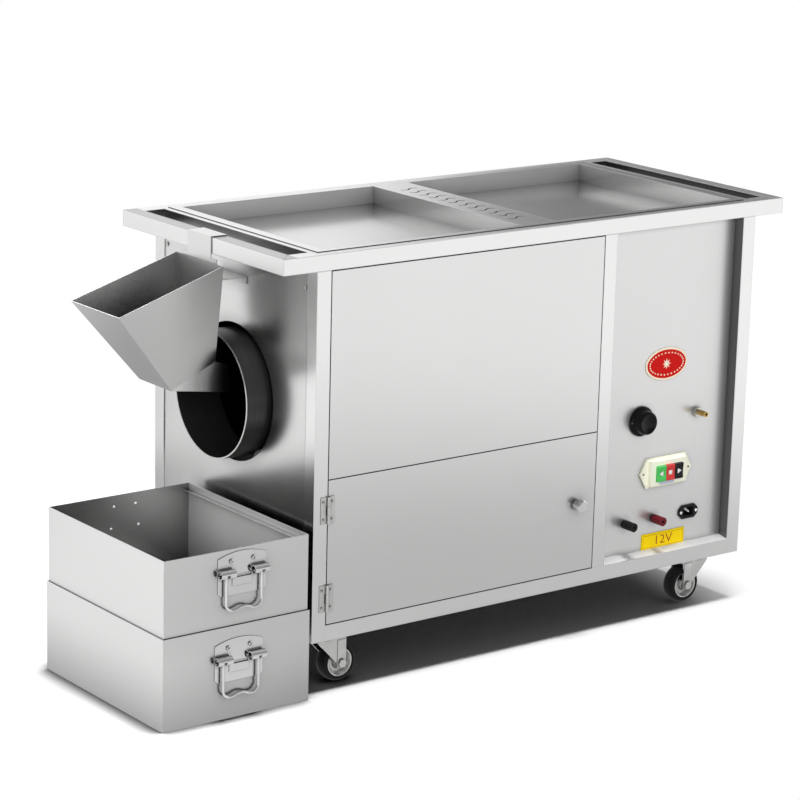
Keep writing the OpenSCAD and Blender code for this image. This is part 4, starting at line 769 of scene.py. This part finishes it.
def screw_pattern(radius, height, finish):
    """A domed screw head with a cross recess, its seat at the origin and its dome along +Z."""
    begin()
    bpy.ops.mesh.primitive_uv_sphere_add(segments=24, ring_count=12, radius=radius)
    bpy.ops.object.mode_set(mode="EDIT")
    bpy.ops.mesh.select_all(action="SELECT")
    bpy.ops.mesh.bisect(plane_co=(0, 0, 0), plane_no=(0, 0, -1), clear_outer=True, use_fill=True)
    bpy.ops.mesh.select_all(action="SELECT")
    bpy.ops.transform.resize(value=(1, 1, height / radius))
    bpy.ops.object.mode_set(mode="OBJECT")
    head = bpy.context.object
    for turn in (0, math.pi / 2):
        begin()
        bpy.ops.mesh.primitive_cube_add(size=1, location=(0, 0, height), rotation=(0, 0, turn))
        cutter = bpy.context.object
        cutter.scale = (radius * RECESS_LONG, radius * RECESS_WIDE, height * RECESS_DEEP)
        bpy.ops.object.transform_apply(location=True, rotation=True, scale=True)
        begin()
        head.select_set(True)
        bpy.context.view_layer.objects.active = head
        cut = head.modifiers.new("cut", "BOOLEAN")
        cut.operation, cut.object, cut.solver = "DIFFERENCE", cutter, "EXACT"
        bpy.ops.object.modifier_apply(modifier=cut.name)
        bpy.data.objects.remove(cutter)
    return settle("screw_pattern", [finish])


def add_screws(prefix, body, radius, spots, finish):
    """A row of screws: each spot is a place and the direction that its head looks."""
    pattern = screw_pattern(radius, radius * HEAD_UP, finish)
    for number, (at, direction) in enumerate(spots):
        screw = copy_to(pattern, f"{prefix}_screw_{number + 1}", at, direction, number * NEXT_TURN)
        on_body(screw, body)
    bpy.data.objects.remove(pattern)


# Corners of the end panel: how far in from its sides, its foot and its top
EDGE_IN, FOOT_IN, TOP_IN = 9 * MM, 30 * MM, 36 * MM
end_low, end_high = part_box("left_end_panel")
add_screws("end_panel", "cabinet", 4 * MM, [
    ((end_low.x, y, z), LEFT)
    for y in (end_low.y + EDGE_IN, end_high.y - EDGE_IN)
    for z in (end_low.z + FOOT_IN, end_high.z - TOP_IN)
], zinc_finish)

# Hinge leaves: a hinge's height, its leaf's thickness, how far in and how far up the screws sit
HINGE_H, LEAF_T, LEAF_IN, LEAF_UPS = 51 * MM, 1.5 * MM, 5 * MM, (9 * MM, 42 * MM)
for node, body in (("hinge_frame_leaves", "cabinet"), ("hinge_door_leaves", "lower_door")):
    low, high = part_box(node)
    leaf_x = low.x + LEAF_IN if body == "cabinet" else high.x - LEAF_IN
    add_screws(node, body, 2.4 * MM, [
        ((leaf_x, high.y - LEAF_T, base + up), FRONT)
        for base in (low.z, high.z - HINGE_H)
        for up in LEAF_UPS
    ], zinc_finish)

# Flanges of the switch and the inlet: how far in and how far out the screws sit, and their radius
for node, x_in, out, radius, finish in (
    ("switch_housing", 9 * MM, 4 * MM, 2.6 * MM, zinc_finish),
    ("power_inlet", 5 * MM, 3 * MM, 3.3 * MM, pale_finish),
):
    low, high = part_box(node)
    add_screws(node, "cabinet", radius, [
        ((x, panel_front - out, (low.z + high.z) / 2), FRONT)
        for x in (low.x + x_in, high.x - x_in)
    ], finish)

# Chest handles: screws outside on the plates, rivets inside on the bin's walls, below the plate's top
PLATE_T, SCREW_OUT, SCREW_DOWN = 1.5 * MM, 23.5 * MM, 16 * MM
BIN_T, RIVET_OUT, RIVET_DOWN = 1.5 * MM, 30 * MM, 58 * MM
for which in BINS:
    low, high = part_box(f"{which}_handle_plates")
    bin_low, bin_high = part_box(f"{which}_bin")
    centre_x = (low.x + high.x) / 2
    add_screws(f"{which}_handle", f"{which}_bin", 4.2 * MM, [
        ((centre_x + side * SCREW_OUT, y, high.z - SCREW_DOWN), direction)
        for y, direction in ((bin_low.y - PLATE_T, FRONT), (bin_high.y + PLATE_T, BACK))
        for side in (-1, 1)
    ], chrome_finish)
    add_screws(f"{which}_rivet", f"{which}_bin", 2.6 * MM, [
        ((centre_x + side * out, y, high.z - down), direction)
        for y, direction in ((bin_low.y + BIN_T, BACK), (bin_high.y - BIN_T, FRONT))
        for side in (-1, 1)
        for out, down in ((SCREW_OUT, SCREW_DOWN), (RIVET_OUT, RIVET_DOWN))
    ], pale_finish)


# Badge and voltage plate on the control panel

BADGE_T, BADGE_RIM, FIELD_UP = 1.2 * MM, 4.4 * MM, 0.12 * MM
STAR_R, STAR_WAIST, SIGN_T = 11 * MM, 0.45, 0.3 * MM
BEADS, BEAD_R, BEADS_IN = 30, 1.7 * MM, 11 * MM


def oval_badge(centre_x, centre_z, width, height):
    """A raised oval plate: cream rim, red field, a plain star in a ring of beads."""
    red = printed("badge_red", (0.62, 0.007, 0.005), 0.5)
    cream = printed("badge_cream", (0.95, 0.84, 0.66))
    begin()
    bpy.ops.mesh.primitive_cylinder_add(vertices=96, radius=0.5, depth=1, end_fill_type="NGON",
                                        location=(centre_x, panel_front - BADGE_T / 2, centre_z),
                                        rotation=(math.pi / 2, 0, 0), scale=(width, height, BADGE_T))
    bpy.ops.object.transform_apply(location=True, rotation=True, scale=True)
    for finish in (cream, red):
        bpy.context.object.data.materials.append(finish)
    bpy.ops.object.mode_set(mode="EDIT")
    select_faces(facing(FRONT))
    bpy.ops.mesh.inset(thickness=BADGE_RIM, depth=FIELD_UP)
    use_finish(1)
    badge = settle("badge", [])
    on_body(badge, "cabinet")
    field_y = panel_front - BADGE_T - FIELD_UP
    begin()
    bpy.ops.mesh.primitive_cylinder_add(vertices=16, radius=STAR_R, depth=SIGN_T,
                                        rotation=(math.pi / 2, 0, 0), location=(centre_x, field_y, centre_z))
    bpy.ops.object.transform_apply(location=True, rotation=True, scale=True)
    bpy.ops.object.mode_set(mode="EDIT")
    bpy.ops.mesh.select_mode(type="VERT")
    bpy.ops.mesh.select_all(action="DESELECT")
    bpy.ops.object.mode_set(mode="OBJECT")
    for number, point in enumerate(bpy.context.object.data.vertices):
        point.select = number // 2 % 2 == 1
    bpy.ops.object.mode_set(mode="EDIT")
    bpy.ops.transform.resize(value=(STAR_WAIST, 1, STAR_WAIST))
    for number in range(BEADS):
        turn = 2 * math.pi * number / BEADS
        out, up = math.cos(turn) * (width / 2 - BEADS_IN), math.sin(turn) * (height / 2 - BEADS_IN)
        bpy.ops.mesh.primitive_cylinder_add(vertices=12, radius=BEAD_R, depth=SIGN_T,
                                            rotation=(math.pi / 2, 0, 0),
                                            location=(centre_x + out, field_y, centre_z + up))
    on_body(settle("badge_star", [cream]), "cabinet")


VOLT_T, LINE_IN, LINE_W = 1.5 * MM, 3.4 * MM, 0.8 * MM


def voltage_plate(centre_x, low_z, width, height):
    """A yellow plate with a thin line frame and its voltage on it."""
    yellow = printed("plate_yellow", (0.98, 0.70, 0.0))
    ink = printed("plate_ink", (0.42, 0.13, 0.01))
    begin()
    at = (centre_x, panel_front - VOLT_T / 2, low_z + height / 2)
    bpy.ops.mesh.primitive_cube_add(size=1, location=at, scale=(width, VOLT_T, height))
    bpy.ops.object.transform_apply(location=True, rotation=True, scale=True)
    for finish in (yellow, ink):
        bpy.context.object.data.materials.append(finish)
    bpy.ops.object.mode_set(mode="EDIT")
    select_faces(facing(FRONT))
    for inset, number in ((LINE_IN, 1), (LINE_W, 0)):
        bpy.ops.mesh.inset(thickness=inset)
        use_finish(number)
    plate = settle("voltage_plate", [])
    on_body(plate, "cabinet")

    begin()
    bpy.ops.object.text_add()
    mark = bpy.context.object
    mark.data.body = "12V"
    mark.data.size = height * 0.78
    mark.data.align_x, mark.data.align_y = "CENTER", "CENTER"
    mark.data.extrude = 0.2 * MM
    bpy.ops.object.convert(target="MESH")
    mark = bpy.context.object
    upright = Matrix.Rotation(math.pi / 2, 4, "X") @ Matrix.Diagonal((1.2, 1, 1, 1))
    mark.data.transform(Matrix.Translation((centre_x, panel_front - VOLT_T, low_z + height / 2)) @ upright)
    settle("voltage_mark", [ink])
    on_body(mark, "cabinet")


panel_x, panel_low_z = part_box("control_panel")[0].x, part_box("control_panel")[0].z
oval_badge(panel_x + 162 * MM, panel_low_z + 380.5 * MM, 109 * MM, 66 * MM)
voltage_plate(panel_x + 174 * MM, panel_low_z + 3 * MM, 112 * MM, 33 * MM)


# Blank label under the buttons
housing_low, housing_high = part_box("switch_housing")
housing_x, housing_z = (housing_low.x + housing_high.x) / 2, (housing_low.z + housing_high.z) / 2
label_grey = printed("label_grey", (0.5, 0.55, 0.66))
label = block("switch_label",
              (housing_x - 24 * MM, housing_low.y - 0.3 * MM, housing_z - 23.5 * MM),
              (housing_x + 14 * MM, housing_low.y + 0.3 * MM, housing_z - 17 * MM), [label_grey], 0.1 * MM)
on_body(label, "cabinet")


# Gas knob: a skirt and a smooth grip, as radius and height above the panel in millimetres, in place of
# the plain solid
KNOB = [
    (0.2, 0.8), (30, 0.8), (30, 4), (28.8, 5.4), (26.5, 6.2), (24.6, 7), (24, 9), (23.2, 20.5),
    (22.6, 23), (21, 24.5), (18.8, 25), (17.8, 24.4), (0.2, 23.8), (0.2, 0.8),
]
knob_low, knob_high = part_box("gas_knob")
knob_at = Vector(((knob_low.x + knob_high.x) / 2, panel_front, (knob_low.z + knob_high.z) / 2))
knob = turned("knob_grip", [(radius * MM, out * MM) for radius, out in KNOB], [knob_finish])
knob.data.transform(Matrix.Translation(knob_at) @ turn_to(FRONT))
on_body(knob, "gas_knob")
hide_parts("gas_knob")
POINTER_LOW, POINTER_HIGH = Vector((-28.5, -5.9, -0.8)) * MM, Vector((-25, -5.0, 0.8)) * MM
pointer = block("knob_pointer", knob_at + POINTER_LOW, knob_at + POINTER_HIGH, [pale_finish], 0.2 * MM)
on_body(pointer, "gas_knob")


# Wedge between the control panel and the rail under it, shaped as a folded lip; its pale matt finish is a
# painted highlight along the panel's foot
rail_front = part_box("cabinet_frame")[0].y
panel_end_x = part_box("control_panel")[1].x
LIP_UP = 5 * MM
begin()
bpy.ops.mesh.primitive_cube_add(
    size=1, scale=(panel_end_x - panel_x, panel_front - rail_front, LIP_UP),
    location=((panel_x + panel_end_x) / 2, (rail_front + panel_front) / 2, panel_low_z + LIP_UP / 2))
bpy.ops.object.transform_apply(location=True, rotation=True, scale=True)
bpy.ops.object.mode_set(mode="EDIT")
bpy.ops.mesh.select_all(action="SELECT")
bpy.ops.mesh.bisect(plane_co=(panel_x, panel_front, panel_low_z + LIP_UP), use_fill=True, clear_outer=True,
                    plane_no=(0, -LIP_UP, panel_front - rail_front))
# Pale matt finish: painted highlight
lip = settle("panel_lip", [moulded("lip_painted_highlight", grey(0.55), 0.35)])
on_body(lip, "cabinet")


# Marks on the push buttons

def button_mark(name, sides, size, turn):
    """A white sign on a button: a triangle for a way of turning, a square for stop."""
    node = name + "_button"
    low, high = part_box(node)
    white = printed("button_white_" + name, (0.82, 0.82, 0.8))
    begin()
    at = ((low.x + high.x) / 2, low.y + 1.1 * MM, (low.z + high.z) / 2)
    bpy.ops.mesh.primitive_cylinder_add(vertices=sides, radius=size, depth=1.0 * MM, location=at,
                                        rotation=(math.pi / 2, turn, 0))
    bpy.ops.object.transform_apply(location=True, rotation=True, scale=True)
    bpy.ops.object.mode_set(mode="EDIT")
    bpy.ops.mesh.select_all(action="SELECT")
    bpy.ops.mesh.bevel(offset=0.3 * MM, segments=2, affect="EDGES")
    on_body(settle(name + "_mark", [white]), node)


button_mark("forward", 3, 6.5 * MM, math.radians(-90))
button_mark("stop", 4, 6.0 * MM, math.radians(45))
button_mark("reverse", 3, 6.5 * MM, math.radians(90))
